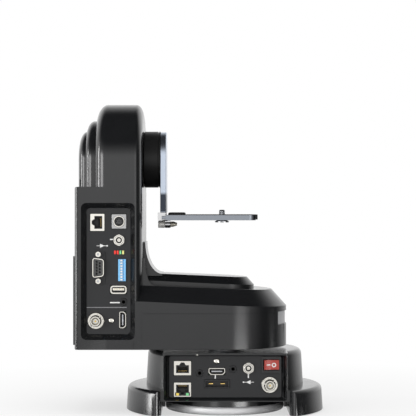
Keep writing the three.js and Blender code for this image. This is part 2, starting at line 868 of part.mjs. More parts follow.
function armShell() {
  const outer = armWalls(0, tower.innerFace, arm.bottom, arm.seam);
  const inner = armWalls(arm.wall, tower.innerFace + arm.wall, arm.bottom + arm.wall, arm.seam + overrun);
  const passage = boxBetween(
    tower.innerFace - overrun,
    tower.innerFace + arm.wall + overrun,
    -arm.bandHalfWidth,
    arm.bandHalfWidth,
    arm.bottom + arm.wall,
    arm.seam + overrun,
  );
  const housing = postZ(
    panBearing.outerRadius + panBearing.wall,
    arm.bottom,
    arm.bottom + panBearing.height,
    0,
    0,
    roundSteps,
  );
  const bore = postZ(
    panBearing.outerRadius + gap,
    arm.bottom - overrun,
    arm.bottom + panBearing.height + overrun,
    0,
    0,
    roundSteps,
  );
  const notch = tallySector(
    arm.halfWidth - tally.depth - gap,
    arm.halfWidth + overrun,
    tally.bottom,
    arm.seam + overrun,
    tally.halfAngle,
  );
  return cut(cut(outer, [inner, passage]).add(housing), [bore, notch]);
}

function tallyWindow() {
  const trim = gap / arm.halfWidth;
  return tallySector(
    arm.halfWidth - tally.depth,
    arm.halfWidth - tally.recess,
    tally.bottom,
    arm.seam,
    tally.halfAngle - trim,
  );
}

// The cover's outer form: a short upright wall, a chamfer and the sloping deck
function coverForm(inset) {
  const thin = inset * Math.tan(Math.PI / 8);
  const left = tower.innerFace + inset;
  const bottom = inset > 0 ? arm.seam - overrun : arm.seam;
  return loft([
    armRing(inset, left, arm.halfWidth, level(bottom)),
    armRing(inset, left, arm.halfWidth, sloped(arm.ridge - thin)),
    armRing(arm.chamfer + thin, left, arm.halfWidth, sloped(arm.ridge + arm.chamfer - inset)),
  ]);
}

// The raised band along the middle of the deck
function coverBand() {
  const deck = arm.ridge + arm.chamfer;
  return loft([
    armRing(0, tower.innerFace, arm.bandHalfWidth, sloped(deck - overrun)),
    armRing(0, tower.innerFace, arm.bandHalfWidth, sloped(deck + arm.bandHeight - arm.bandChamfer)),
    armRing(arm.bandChamfer, tower.innerFace, arm.bandHalfWidth, sloped(deck + arm.bandHeight)),
  ]);
}

// A hollow-curved web between the tower's face and the deck
function fairingWeb(halfWidth, foot, height, reach) {
  const x0 = tower.innerFace;
  const x1 = x0 + fairing.lip;
  const curve = quarterShares(fairingSteps).map(
    ([along, inward]) => new THREE.Vector2(x1 + reach * inward, foot + height * (1 - along)),
  );
  const end = x1 + reach;
  return extrudeY(
    [
      new THREE.Vector2(x0, foot - fairing.lip),
      new THREE.Vector2(end, foot - fairing.lip),
      ...curve.reverse(),
      new THREE.Vector2(x0, foot + height),
    ],
    -halfWidth,
    halfWidth,
  );
}

function armCover() {
  const deckAtTower = arm.ridge + arm.chamfer - armSlopeShare * tower.innerFace;
  const wide = fairingWeb(
    arm.halfWidth - arm.chamfer - fairing.wideInset,
    deckAtTower - fairing.sink,
    fairing.wideHeight,
    fairing.wideReach,
  );
  const narrow = fairingWeb(
    arm.bandHalfWidth - arm.bandChamfer / 2,
    deckAtTower + arm.bandHeight - fairing.sink,
    fairing.narrowHeight,
    fairing.narrowReach,
  );
  const outer = join([coverForm(0), coverBand(), wide, narrow]);
  return outer.subtract(coverForm(arm.wall));
}

// Tower

// The tower's outline square to X: upright sides and a half ellipse over the tilt axis
function towerOutline(inset, bottom) {
  const halfDepth = tower.halfDepth - inset;
  const crown = tower.crownHeight - inset;
  const points = [[-halfDepth, bottom], [halfDepth, bottom]];
  for (let i = 0; i <= crownSteps; i++) {
    const angle = (i * Math.PI) / crownSteps;
    points.push([halfDepth * Math.cos(angle), tower.tiltHeight + crown * Math.sin(angle)]);
  }
  return points;
}

function towerRing(x, inset, bottom) {
  return towerOutline(inset, bottom).map(([y, z]) => new THREE.Vector3(x, y, z));
}

// Rings of a rounded step from one face plane to the next, going in -X
function domeRings(start, end, inset, radial, axial, bottom) {
  const direction = Math.sign(end - start);
  const shoulder = end - direction * Math.min(axial, Math.abs(end - start));
  const rings = quarterShares(edgeSteps).map(([along, inward]) =>
    towerRing(shoulder + (end - shoulder) * along, inset + radial * inward, bottom),
  );
  const first = shoulder === start ? [] : [towerRing(start, inset, bottom)];
  return [...first, ...rings];
}

function innerShellForm(inset) {
  const bottom = arm.bottom + inset;
  const face = tower.innerFace - inset;
  const seam = inset > 0 ? tower.seam - overrun : tower.seam;
  return loft(domeRings(seam, face, inset, tower.edgeRadial, tower.edgeAxial, bottom));
}

// The end of the arm's own form, which fills the tower's rounded edge where the arm meets it
function armRoot() {
  const deck = arm.ridge + arm.chamfer - armSlopeShare * tower.innerFace;
  const ridge = arm.ridge - armSlopeShare * tower.innerFace;
  const outline = [
    [-arm.halfWidth, arm.bottom],
    [arm.halfWidth, arm.bottom],
    [arm.halfWidth, ridge],
    [arm.halfWidth - arm.chamfer, deck],
    [arm.chamfer - arm.halfWidth, deck],
    [-arm.halfWidth, ridge],
  ].map(([y, z]) => new THREE.Vector2(y, z));
  return extrudeX(outline, tower.innerFace - tower.edgeAxial - overrun, tower.innerFace);
}

function towerRecessTools() {
  const mouth = roundedRectangle(
    towerBay.left,
    towerBay.right,
    towerBay.bottom,
    towerBay.top,
    towerBay.corner,
  );
  const opening = towerPanelOutline(0);
  return [
    taperedRecess(mouth, opening, tower.halfDepth, towerBay.depth),
    extrudeY(opening, -towerPanel.face - overrun, -towerPanel.face / 2),
  ];
}

function towerPanelOutline(clearance) {
  return roundedRectangle(
    towerPanel.left + clearance,
    towerPanel.right - clearance,
    towerPanel.bottom + clearance,
    towerPanel.top - clearance,
    towerBay.corner / 2,
  );
}

// The thickened wall behind the recess, between two places along X
function recessBacking(x0, x1) {
  return boxBetween(
    x0,
    x1,
    -tower.halfDepth,
    -towerPanel.face + towerPanel.thickness + gap,
    towerBay.bottom - towerBay.margin,
    towerBay.top + towerBay.margin,
  );
}

function towerInnerShell() {
  const outer = innerShellForm(0).add(armRoot());
  const hollowRoot = boxBetween(
    tower.seam - overrun,
    tower.innerFace - tower.wall,
    arm.chamfer - tower.halfDepth,
    tower.halfDepth - arm.chamfer,
    arm.bottom + tower.wall,
    tower.tiltHeight,
  );
  const hollow = innerShellForm(tower.wall).add(hollowRoot);
  const backing = recessBacking(tower.seam, towerBay.right + towerBay.margin);
  const passage = boxBetween(
    tower.innerFace - tower.wall - overrun,
    tower.innerFace + overrun,
    -arm.bandHalfWidth,
    arm.bandHalfWidth,
    arm.bottom + arm.wall,
    arm.seam,
  );
  const boss = postX(
    tiltBearing.outerRadius + tiltBearing.wall,
    tower.innerFace - tower.wall - tiltBearing.width,
    tower.innerFace - overrun,
    0,
    tower.tiltHeight,
    roundSteps,
  );
  const bore = postX(
    tiltBearing.outerRadius + gap,
    tower.innerFace - tower.wall - tiltBearing.width - overrun,
    tower.innerFace - tower.wall,
    0,
    tower.tiltHeight,
    roundSteps,
  );
  const eye = postX(
    tiltShaft.radius + gap,
    tower.innerFace - tower.wall - overrun,
    tower.innerFace + overrun,
    0,
    tower.tiltHeight,
    roundSteps,
  );
  const walls = outer.subtract(hollow).add(backing.intersect(outer)).add(boss);
  return cut(walls, [passage, bore, eye, ...towerRecessTools()]);
}

// The outer shell's stacked domes, drawn inwards by a wall
function outerDomes(inset) {
  const bottom = arm.bottom + inset;
  const start = inset > 0 ? tower.seam + overrun : tower.seam;
  const face = tower.outerFace + inset;
  const largeFace = largeDome.face + inset;
  const smallFace = smallDome.face + inset;
  const smallInset = smallDome.inset - largeDome.inset;
  return loft([
    ...domeRings(start, face, inset, largeDome.inset, tower.outerEdgeAxial, bottom),
    ...domeRings(face, largeFace, largeDome.inset + inset, smallInset, largeDome.edgeAxial, bottom).slice(1),
    ...domeRings(
      largeFace,
      smallFace,
      smallDome.inset + inset,
      smallDome.edgeRadial,
      smallDome.edgeAxial,
      bottom,
    ).slice(1),
  ]);
}

function controlBox(inset) {
  const start = inset > 0 ? tower.seam + overrun : tower.seam;
  const face = box.outerFace + inset;
  const ring = (x, inward) => {
    const halfDepth = tower.halfDepth - inset - box.edgeRadial * inward;
    const top = box.top - inset - box.topRadial * inward;
    const bottom = arm.bottom + inset;
    return [
      new THREE.Vector3(x, -halfDepth, bottom),
      new THREE.Vector3(x, halfDepth, bottom),
      new THREE.Vector3(x, halfDepth, top),
      new THREE.Vector3(x, -halfDepth, top),
    ];
  };
  const corner = quarterShares(edgeSteps).map(
    ([along, inward]) => ring(face + box.edgeAxial * (1 - along), inward),
  );
  return loft([ring(start, 0), ...corner]);
}

const hatchHalfWidth = tower.halfDepth - box.edgeRadial;

function serviceHatch(clearance, rise) {
  return boxBetween(
    box.outerFace - rise,
    box.outerFace + hatch.thickness,
    clearance - hatchHalfWidth,
    hatchHalfWidth - clearance,
    hatch.bottom + clearance,
    hatch.top - clearance,
  );
}

function towerOuterShell() {
  const outer = outerDomes(0).add(controlBox(0));
  const hollow = outerDomes(tower.wall).add(controlBox(tower.wall));
  const backing = recessBacking(towerBay.left - towerBay.margin, tower.seam);
  const walls = outer.subtract(hollow).add(backing.intersect(outer));
  return cut(walls, [serviceHatch(0, overrun), ...towerRecessTools()]);
}

// Tilt drive

const tiltCentreDistance = pitchRadius(tiltDrive.wheelTeeth) + pitchRadius(tiltDrive.pinionTeeth);

// Drawn about the tilt axis
function tiltShaftSolid() {
  const end = tower.innerFace + drum.width;
  const rod = postX(tiltShaft.radius, drivePlateLeft, end, 0, 0, roundSteps);
  const collar = postX(
    tiltShaft.collarRadius,
    wheelRight,
    wheelRight + tiltShaft.collarWidth,
    0,
    0,
    roundSteps,
  );
  const bore = postX(tiltShaft.boreRadius, drivePlateLeft - overrun, end + overrun, 0, 0, roundSteps);
  return rod.add(collar).subtract(bore);
}

function tiltWheel() {
  return extrudeX(gearOutline(tiltDrive.wheelTeeth, -Math.PI / 2), wheelLeft, wheelRight, [
    circle(tiltShaft.radius + gap, roundSteps),
  ]);
}

// The pinion hangs below the wheel, with a tooth space facing the wheel's lowest tooth
function tiltPinion() {
  const teeth = tiltDrive.pinionTeeth;
  const facing = Math.PI / 2 + Math.PI / teeth;
  const toothed = extrudeX(gearOutline(teeth, facing), wheelLeft, wheelRight);
  return toothed.add(postX(tiltDrive.shaftRadius, drivePlateLeft + gap, wheelLeft + overrun));
}

function tiltBearingRing() {
  const left = tower.innerFace - tower.wall - tiltBearing.width;
  return extrudeX(
    circle(tiltBearing.outerRadius, roundSteps),
    left,
    tower.innerFace - tower.wall,
    [circle(tiltShaft.radius + gap, roundSteps)],
  );
}

function drivePlateSolid() {
  const rear = towerPanel.face - towerPanel.boardDepth - towerPanel.boardThickness - drivePlate.boardGap;
  const outline = towerOutline(tower.wall + gap, tower.tiltHeight - drivePlate.drop).map(
    ([y, z]) => new THREE.Vector2(Math.max(y, -rear), z),
  );
  const distinct = outline.filter((p, i) => i === 0 || p.distanceTo(outline[i - 1]) > seat);
  const solid = extrudeX(distinct, drivePlateLeft, drivePlateRight);
  const eye = postX(
    tiltShaft.radius + gap,
    drivePlateLeft - overrun,
    drivePlateRight + overrun,
    0,
    tower.tiltHeight,
    roundSteps,
  );
  const motorEye = postX(
    tiltDrive.shaftRadius + gap,
    drivePlateLeft - overrun,
    drivePlateRight + overrun,
    0,
    tower.tiltHeight - tiltCentreDistance,
  );
  return cut(solid, [eye, motorEye]);
}

// Tilting head, drawn about the tilt axis

function tiltDrum() {
  const left = tower.innerFace + gap;
  const right = tower.innerFace + drum.width;
  const body = postX(drum.radius, left, right, 0, 0, drumSteps);
  const bore = postX(tiltShaft.radius + gap, left - overrun, right + overrun, 0, 0, roundSteps);
  const grooveRight = right - drum.grooveInset;
  const grooveLeft = grooveRight - drum.grooveWidth;
  const groove = postX(drum.radius + overrun, grooveLeft, grooveRight, 0, 0, drumSteps).subtract(
    postX(drum.radius - drum.grooveDepth, grooveLeft - overrun, grooveRight + overrun, 0, 0, drumSteps),
  );
  return cut(body, [bore, groove]);
}

function bracketUpright() {
  const outline = roundedRectangle(
    -upright.halfWidth,
    upright.halfWidth,
    -upright.drop - upright.corner,
    upright.rise,
    upright.corner,
    upright.cornerSteps,
  );
  const below = boxBetween(
    uprightLeft - overrun,
    uprightRight + overrun,
    -upright.halfWidth - overrun,
    upright.halfWidth + overrun,
    -upright.drop - upright.corner - overrun,
    -upright.drop,
  );
  return extrudeX(outline, uprightLeft, uprightRight).subtract(below);
}

const tongueBottom = plate.bottom + (plate.thickness - plate.tongueThickness) / 2;
const tongueTop = tongueBottom + plate.tongueThickness;
const clampHeight = block.bottom - clamp.drop;
const bossLeft = block.left + clamp.headLength + gap;
const bossRight = bossLeft + clamp.bossLength;

function cornerBlock() {
  const body = boxBetween(
    block.left,
    block.right,
    -block.halfWidth,
    block.halfWidth,
    block.bottom,
    -upright.drop,
  );
  const groove = boxBetween(
    plate.left - plate.tongue - gap,
    block.right + overrun,
    -block.halfWidth - overrun,
    block.halfWidth + overrun,
    tongueBottom - gap,
    tongueTop + gap,
  );
  const lip = boxBetween(
    bossLeft,
    bossRight,
    -block.halfWidth,
    block.halfWidth,
    block.bottom - block.lipHeight,
    block.bottom + seat,
  );
  const bosses = [-clamp.spacing, clamp.spacing].map((y) =>
    postX(clamp.headRadius, bossLeft, bossRight, y, clampHeight),
  );
  const bores = [-clamp.spacing, clamp.spacing].map((y) =>
    postX(clamp.shankRadius + gap, bossLeft - overrun, bossRight + overrun, y, clampHeight),
  );
  return cut(body.subtract(groove).add(join([lip, ...bosses])), bores);
}

// A knob, its shank through the block's boss, and a chamfered tip beyond it. Drawn about its own axis.
function clampScrew() {
  const head = postX(clamp.headRadius, block.left, block.left + clamp.headLength);
  const shank = postX(clamp.shankRadius, block.left + overrun, bossRight + overrun);
  const ring = (x, radius) => circle(radius, smallSteps).map((p) => new THREE.Vector3(x, p.x, p.y));
  const tipLeft = bossRight + gap;
  const tip = loft([
    ring(tipLeft, clamp.tipRadius),
    ring(tipLeft + clamp.tipLength / 2, clamp.tipRadius),
    ring(tipLeft + clamp.tipLength, clamp.tipRadius / 2),
  ]);
  return join([head, shank, tip]);
}

function slotTool(clearance) {
  return extrudeZ(
    roundedRectangle(
      slot.left - clearance,
      slot.right + clearance,
      -slot.halfWidth - clearance,
      slot.halfWidth + clearance,
      slot.halfWidth + clearance,
      slot.endSteps,
    ),
    plate.bottom - overrun,
    plate.top + pad.thickness + overrun,
  );
}

function cameraPlate() {
  const body = boxBetween(
    plate.left,
    plate.right,
    -plate.halfWidth,
    plate.halfWidth,
    plate.bottom,
    plate.top,
  );
  const tongue = boxBetween(
    plate.left - plate.tongue,
    plate.left + overrun,
    -plate.halfWidth,
    plate.halfWidth,
    tongueBottom,
    tongueTop,
  );
  return body.add(tongue).subtract(slotTool(0));
}

// A thin mat on the plate, with a low crown at the tower end and a lip down the plate's free end
function platePad() {
  const matTop = plate.top + pad.thickness;
  const left = plate.left + pad.crownInset;
  const mat = boxBetween(left, plate.right + pad.lip, -plate.halfWidth, plate.halfWidth, plate.top, matTop);
  const lip = boxBetween(
    plate.right,
    plate.right + pad.lip,
    -plate.halfWidth,
    plate.halfWidth,
    plate.top - pad.lipDrop,
    matTop,
  );
  const half = pad.crownLength / 2;
  const crown = [new THREE.Vector2(left, plate.top), new THREE.Vector2(left + pad.crownLength, plate.top)];
  for (let i = 0; i <= pad.crownSteps; i++) {
    const angle = (i * Math.PI) / pad.crownSteps;
    const along = Math.sign(Math.cos(angle)) * Math.sqrt(Math.abs(Math.cos(angle)));
    crown.push(new THREE.Vector2(left + half + half * along, matTop + pad.crownRise * Math.sin(angle)));
  }
  const hump = extrudeY(crown, -pad.crownHalfWidth, pad.crownHalfWidth);
  return join([mat, lip, hump]).subtract(slotTool(gap));
}

// The washer and the screw are drawn about the screw's own axis, from the plate's underside
function screwWasher() {
  return ringZ(cameraScrew.shankRadius + gap, cameraWasher.radius, -cameraWasher.thickness, 0, smallSteps);
}

function cameraScrewSolid() {
  const under = -cameraWasher.thickness;
  const head = postZ(cameraScrew.headRadius, under - cameraScrew.headHeight, under, 0, 0, roundSteps);
  const shank = postZ(cameraScrew.shankRadius, under - overrun, plate.thickness + cameraScrew.threadRise);
  return head.add(shank);
}

// Sockets

function networkSocket(depth) {
  const body = extrudeZ(rectangle(network.width / 2, network.height / 2), -depth, network.rim);
  const cavity = extrudeZ(
    rectangle(network.cavityWidth / 2, network.cavityHeight / 2),
    network.rim - network.cavityDepth,
    network.rim + overrun,
  );
  const key = extrudeZ(
    rectangle(
      network.keyWidth / 2,
      network.keyHeight / 2,
      0,
      (network.cavityHeight + network.keyHeight) / 2 - seat,
    ),
    network.rim - network.cavityDepth,
    network.rim + overrun,
  );
  return cut(body, [cavity, key]);
}

function hdmiOutline(inset) {
  const w = hdmi.width / 2 - inset;
  const h = hdmi.height / 2 - inset;
  return [
    new THREE.Vector2(hdmi.cut - w, -h),
    new THREE.Vector2(w - hdmi.cut, -h),
    new THREE.Vector2(w, hdmi.cut - h),
    new THREE.Vector2(w, h),
    new THREE.Vector2(-w, h),
    new THREE.Vector2(-w, hdmi.cut - h),
  ];
}

function hdmiSocket(depth) {
  const tongueFoot = hdmi.rim - hdmi.depth - overrun;
  const body = extrudeZ(hdmiOutline(0), -depth, hdmi.rim);
  const cavity = extrudeZ(hdmiOutline(hdmi.wall), hdmi.rim - hdmi.depth, hdmi.rim + overrun);
  const tongue = extrudeZ(rectangle(hdmi.tongueWidth / 2, hdmi.tongueHeight / 2), tongueFoot, 0);
  return body.subtract(cavity).add(tongue);
}

function audioJack(depth) {
  const body = postZ(jack.radius, -depth, jack.rim);
  return body.subtract(postZ(jack.boreRadius, jack.rim - jack.boreDepth, jack.rim + overrun));
}

function powerSocket(depth) {
  const barrel = postZ(power.radius, -depth, power.rim);
  const nut = extrudeZ(circle(power.nutRadius, hexSides), 0, power.nutHeight);
  const bore = postZ(power.boreRadius, power.rim - power.boreDepth, power.rim + overrun);
  const pin = postZ(power.pinRadius, power.rim - power.boreDepth - overrun, 0, 0, 0, pinSteps);
  return barrel.add(nut).subtract(bore).add(pin);
}

function bncSocket(depth) {
  const barrel = postZ(bnc.radius, -depth, bnc.rim, 0, 0, bncSteps);
  const flange = postZ(bnc.flangeRadius, 0, bnc.flangeHeight, 0, 0, bncSteps);
  const lugHeight = bnc.rim - bnc.lugInset;
  const lug = postX(
    bnc.lugRadius,
    -bnc.radius - bnc.lugLength,
    bnc.radius + bnc.lugLength,
    0,
    lugHeight,
    pinSteps,
  );
  const bore = postZ(bnc.boreRadius, bnc.rim - bnc.boreDepth, bnc.rim + overrun, 0, 0, bncSteps);
  const pin = postZ(bnc.pinRadius, bnc.rim - bnc.boreDepth - overrun, bnc.rim - overrun, 0, 0, pinSteps);
  return join([barrel, flange, lug]).subtract(bore).add(pin);
}

function terminalSocket(depth) {
  const body = extrudeZ(rectangle(terminal.width / 2, terminal.height / 2), -depth, terminal.rim);
  const cavity = extrudeZ(
    rectangle(terminal.width / 2 - terminal.wall, terminal.height / 2 - terminal.wall),
    terminal.rim - terminal.depth,
    terminal.rim + overrun,
  );
  const pins = [-1, 1].map((side) =>
    postZ(
      terminal.pinRadius,
      terminal.rim - terminal.depth - overrun,
      0,
      (side * terminal.pinPitch) / 2,
      0,
      pinSteps,
    ),
  );
  return body.subtract(cavity).add(join(pins));
}

function dinSocket(depth) {
  const body = extrudeZ(rectangle(din.side / 2, din.side / 2), -depth, din.rim);
  const well = extrudeZ(circle(din.radius), din.rim - din.boreDepth, din.rim + overrun);
  const core = postZ(din.coreRadius, din.rim - din.boreDepth - overrun, din.rim / 2);
  return body.subtract(well).add(core);
}

// The nine-pin shell stands upright, with its wide side to the left
function serialOutline(inset) {
  const w = serial.width / 2 - inset;
  const h = serial.height / 2 - inset;
  const c = serial.corner;
  const t = serial.taper;
  return [
    new THREE.Vector2(-w, c - h),
    new THREE.Vector2(c - w, -h),
    new THREE.Vector2(w - c, t - h),
    new THREE.Vector2(w, t + c - h),
    new THREE.Vector2(w, h - t - c),
    new THREE.Vector2(w - c, h - t),
    new THREE.Vector2(c - w, h),
    new THREE.Vector2(-w, h - c),
  ];
}

function serialSocket(depth) {
  const flange = extrudeZ(
    rectangle(serial.flangeWidth / 2, serial.flangeHeight / 2),
    0,
    serial.flangeThickness,
  );
  const shell = extrudeZ(serialOutline(0), -depth, serial.rim);
  const moat = extrudeZ(serialOutline(serial.wall), serial.flangeThickness, serial.rim + overrun);
  const core = extrudeZ(serialOutline(serial.wall + serial.moat), 0, serial.rim - serial.wall);
  const posts = [-1, 1].map((side) =>
    extrudeZ(circle(serial.postRadius, hexSides, 0, side * serial.postPitch), 0, serial.postHeight),
  );
  return join([flange, shell]).subtract(moat).add(join([core, ...posts]));
}

function usbSocket(depth) {
  const w = usb.width / 2;
  const h = usb.height / 2;
  const body = extrudeZ(roundedRectangle(-w, w, -h, h, usb.corner, filletSteps), -depth, usb.rim);
  const cavity = extrudeZ(
    rectangle(usb.cavityWidth / 2, usb.cavityHeight / 2),
    usb.rim - usb.depth,
    usb.rim + overrun,
  );
  const tongue = extrudeZ(
    rectangle(usb.tongueWidth / 2, usb.tongueHeight / 2),
    usb.rim - usb.depth - overrun,
    0,
  );
  return body.subtract(cavity).add(tongue);
}

// The middles of the lamps along their row
const lampXs = Array.from({ length: lampCount }, (_, i) => {
  return towerPlaces.lamps.x + lamp.pitch * (i - (lampCount - 1) / 2);
});

function lampOutline(x, clearance) {
  return rectangle(lamp.width / 2 + clearance, lamp.height / 2 + clearance, x, towerPlaces.lamps.z);
}

// The status lamps on one light bar behind the panel
function statusLamps(thickness) {
  const half = (lampCount * lamp.pitch) / 2 + lamp.barMargin;
  const barHalf = lamp.height / 2 + lamp.barMargin;
  const bar = extrudeZ(
    rectangle(half, barHalf, towerPlaces.lamps.x, towerPlaces.lamps.z),
    -thickness - lamp.barThickness,
    -thickness,
  );
  const lamps = lampXs.map((x) => extrudeZ(lampOutline(x, 0), -thickness - overrun, lamp.rim));
  return join([bar, ...lamps]);
}

const dipLeverYs = Array.from({ length: dipLevers }, (_, i) => dip.pitch * ((dipLevers - 1) / 2 - i));

function dipBody(depth) {
  const body = extrudeZ(rectangle(dip.width / 2, dipHalfHeight), -depth, dip.rim);
  const slots = dipLeverYs.map((y) =>
    extrudeZ(
      rectangle(dip.slotLength / 2, dip.slotWidth / 2, 0, y),
      dip.rim - dip.slotDepth,
      dip.rim + overrun,
    ),
  );
  return cut(body, slots);
}

// Drawn about the middle of its slot, at the left end of its travel
function dipLever() {
  const left = gap - dip.slotLength / 2;
  return extrudeZ(
    rectangle(lever.length / 2, lever.width / 2, left + lever.length / 2, 0),
    dip.rim - dip.slotDepth,
    dip.rim + lever.rise,
  );
}

// Power switch

function rockerBezel(depth) {
  const hollow = extrudeZ(
    rectangle(rocker.width / 2 + rocker.sideGap, rocker.height / 2 + gap),
    -rocker.pivotDepth - rocker.sink - overrun,
    rocker.rim + overrun,
  );
  const flange = extrudeZ(rectangle(rocker.bezelWidth / 2, rocker.bezelHeight / 2), 0, rocker.rim);
  const body = extrudeZ(
    rectangle(rocker.width / 2 + rocker.sideGap * 2, rocker.height / 2 + gap + rocker.pinLength * 2),
    -depth,
    overrun,
  );
  const pinHole = rockerPin(gap);
  return cut(flange.add(body), [hollow, pinHole]);
}

// The rocker's pins along y, at its pivot
function rockerPin(clearance) {
  const half = rocker.height / 2 + rocker.pinLength + clearance;
  const geometry = new THREE.CylinderGeometry(
    rocker.pinRadius + clearance,
    rocker.pinRadius + clearance,
    half * 2,
    smallSteps,
  );
  geometry.translate(0, 0, -rocker.pivotDepth);
  return solidOf(geometry);
}

// Drawn about its pivot, in the middle of its throw: a shallow V on top and a wedge below
function rockerSolid() {
  const half = rocker.width / 2;
  const outline = [
    [-half, 0],
    [-half / 2, -rocker.sink],
    [half / 2, -rocker.sink],
    [half, 0],
    [half, rocker.pivotDepth + rocker.endRise],
    [0, rocker.pivotDepth + rocker.middleRise],
    [-half, rocker.pivotDepth + rocker.endRise],
  ].map(([x, z]) => new THREE.Vector2(x, z));
  const body = extrudeY(outline, -rocker.height / 2, rocker.height / 2);
  return body.add(rockerPin(0).translate([0, 0, rocker.pivotDepth]));
}

// Panels

// A piece's hole in its panel
function holeOf(place, halfWidth, halfHeight) {
  return rectangle(halfWidth + gap, halfHeight + gap, place.x, place.z);
}

function roundHoleOf(place, radius) {
  return circle(radius + gap, smallSteps, place.x, place.z);
}

function basePanelSolid() {
  const p = basePlaces;
  return extrudeZ(basePanelOutline(gap), -basePanel.thickness, 0, [
    holeOf(p.networkUpper, network.width / 2, network.height / 2),
    holeOf(p.networkLower, network.width / 2, network.height / 2),
    holeOf(p.hdmi, hdmi.width / 2, hdmi.height / 2),
    holeOf(p.terminal, terminal.width / 2, terminal.height / 2),
    holeOf(p.rocker, rocker.width / 2 + rocker.sideGap * 2, rocker.height / 2 + gap + rocker.pinLength * 2),
    roundHoleOf(p.audioLeft, jack.radius),
    roundHoleOf(p.audioRight, jack.radius),
    roundHoleOf(p.power, power.radius),
    roundHoleOf(p.bnc, bnc.radius),
  ]);
}

function towerPanelSolid() {
  const p = towerPlaces;
  return extrudeZ(towerPanelOutline(gap), -towerPanel.thickness, 0, [
    holeOf(p.network, network.height / 2, network.width / 2),
    holeOf(p.din, din.side / 2, din.side / 2),
    holeOf(p.serial, serial.width / 2, serial.height / 2),
    holeOf(p.dip, dip.width / 2, dipHalfHeight),
    holeOf(p.usb, usb.width / 2, usb.height / 2),
    holeOf(p.hdmi, hdmi.height / 2, hdmi.width / 2),
    roundHoleOf(p.power, power.radius),
    roundHoleOf(p.audio, jack.radius),
    roundHoleOf(p.bnc, bnc.radius),
    ...lampXs.map((x) => lampOutline(x, gap)),
  ]);
}

function circuitBoard(outline, panel) {
  return extrudeZ(outline, -panel.boardDepth - panel.boardThickness, -panel.boardDepth);
}

// Assembly

const root = new THREE.Group();
const yoke = new THREE.Group();
const head = new THREE.Group();
root.add(yoke);
yoke.add(head);
head.position.set(0, 0, tower.tiltHeight);

// A group in a rear panel's plane: x right, y up, z out towards -Y
function panelGroup(parent, face) {
  const group = new THREE.Group();
  group.position.set(0, -face, 0);
  group.rotation.x = Math.PI / 2;
  parent.add(group);
  return group;
}

function placeAt(mesh, place, turn = 0) {
  mesh.position.set(place.x, place.z, 0);
  mesh.rotation.z = turn;
}

function buildBase() {
  addPiece(root, "mounting_disc", mountingDisc(), "silver");
  addPiece(root, "base_housing", baseHousing(), "body");
  addPiece(root, "pan_spindle", panSpindle(), "steel");
  const bearingFoot = arm.bottom + gap;
  const bearingTop = bearingFoot + panBearing.height - gap;
  addPiece(
    root,
    "pan_bearing",
    ringZ(spindle.radius + gap, panBearing.outerRadius, bearingFoot, bearingTop),
    "steel",
  );
  addPiece(root, "pan_gear", panWheel(), "brass");
}

function buildBasePanel() {
  const group = panelGroup(root, basePanel.face);
  const depth = basePanel.boardDepth;
  const p = basePlaces;
  addPiece(group, "base_socket_panel", basePanelSolid(), "panel");
  addPiece(
    group,
    "base_circuit_board",
    circuitBoard(basePanelOutline(basePanel.boardInset), basePanel),
    "green",
  );
  placeAt(addPiece(group, "base_network_socket_upper", networkSocket(depth), "nickel"), p.networkUpper);
  placeAt(
    addPiece(group, "base_network_socket_lower", networkSocket(depth), "nickel"),
    p.networkLower,
    Math.PI,
  );
  placeAt(addPiece(group, "base_audio_jack_left", audioJack(depth), "black"), p.audioLeft);
  placeAt(addPiece(group, "base_hdmi_socket", hdmiSocket(depth), "nickel"), p.hdmi);
  placeAt(addPiece(group, "base_terminal_socket", terminalSocket(depth), "black"), p.terminal);
  placeAt(addPiece(group, "base_audio_jack_right", audioJack(depth), "black"), p.audioRight);
  placeAt(addPiece(group, "base_power_socket", powerSocket(depth), "nickel"), p.power);
  placeAt(addPiece(group, "base_bnc_socket", bncSocket(depth), "nickel"), p.bnc, Math.PI / 4);
  placeAt(addPiece(group, "power_switch_bezel", rockerBezel(depth), "black"), p.rocker);
  const key = addPiece(group, "power_rocker", rockerSolid(), "red");
  key.position.set(p.rocker.x, p.rocker.z, -rocker.pivotDepth);
  key.rotation.y = rocker.halfThrow;
}

function buildArm() {
  addPiece(yoke, "arm_shell", armShell(), "body");
  addPiece(yoke, "arm_cover", armCover(), "body");
  addPiece(yoke, "tally_window", tallyWindow(), "window");
  const motor = addPiece(yoke, "pan_motor", motorZ(panMotor.radius, panMotor.height, panMotor.boss), "steel");
  motor.position.set(-panCentreDistance, 0, arm.bottom + arm.wall);
  const pinion = addPiece(yoke, "pan_pinion", panPinion(), "steel");
  pinion.position.set(-panCentreDistance, 0, 0);
}

function buildTower() {
  addPiece(yoke, "tower_inner_shell", towerInnerShell(), "body");
  addPiece(yoke, "tower_outer_shell", towerOuterShell(), "body");
  addPiece(yoke, "service_hatch", serviceHatch(gap, 0), "panel");
  addPiece(yoke, "drive_plate", drivePlateSolid(), "alloy");
  const motor = addPiece(
    yoke,
    "tilt_motor",
    motorZ(tiltMotor.radius, tiltMotor.length, tiltMotor.boss),
    "steel",
  );
  motor.position.set(motorBack, 0, tower.tiltHeight - tiltCentreDistance);
  motor.rotation.y = Math.PI / 2;
  const bearing = addPiece(yoke, "tilt_bearing", tiltBearingRing(), "steel");
  bearing.position.set(0, 0, tower.tiltHeight);
  const pinion = addPiece(yoke, "tilt_pinion", tiltPinion(), "steel");
  pinion.position.set(0, 0, tower.tiltHeight - tiltCentreDistance);
}

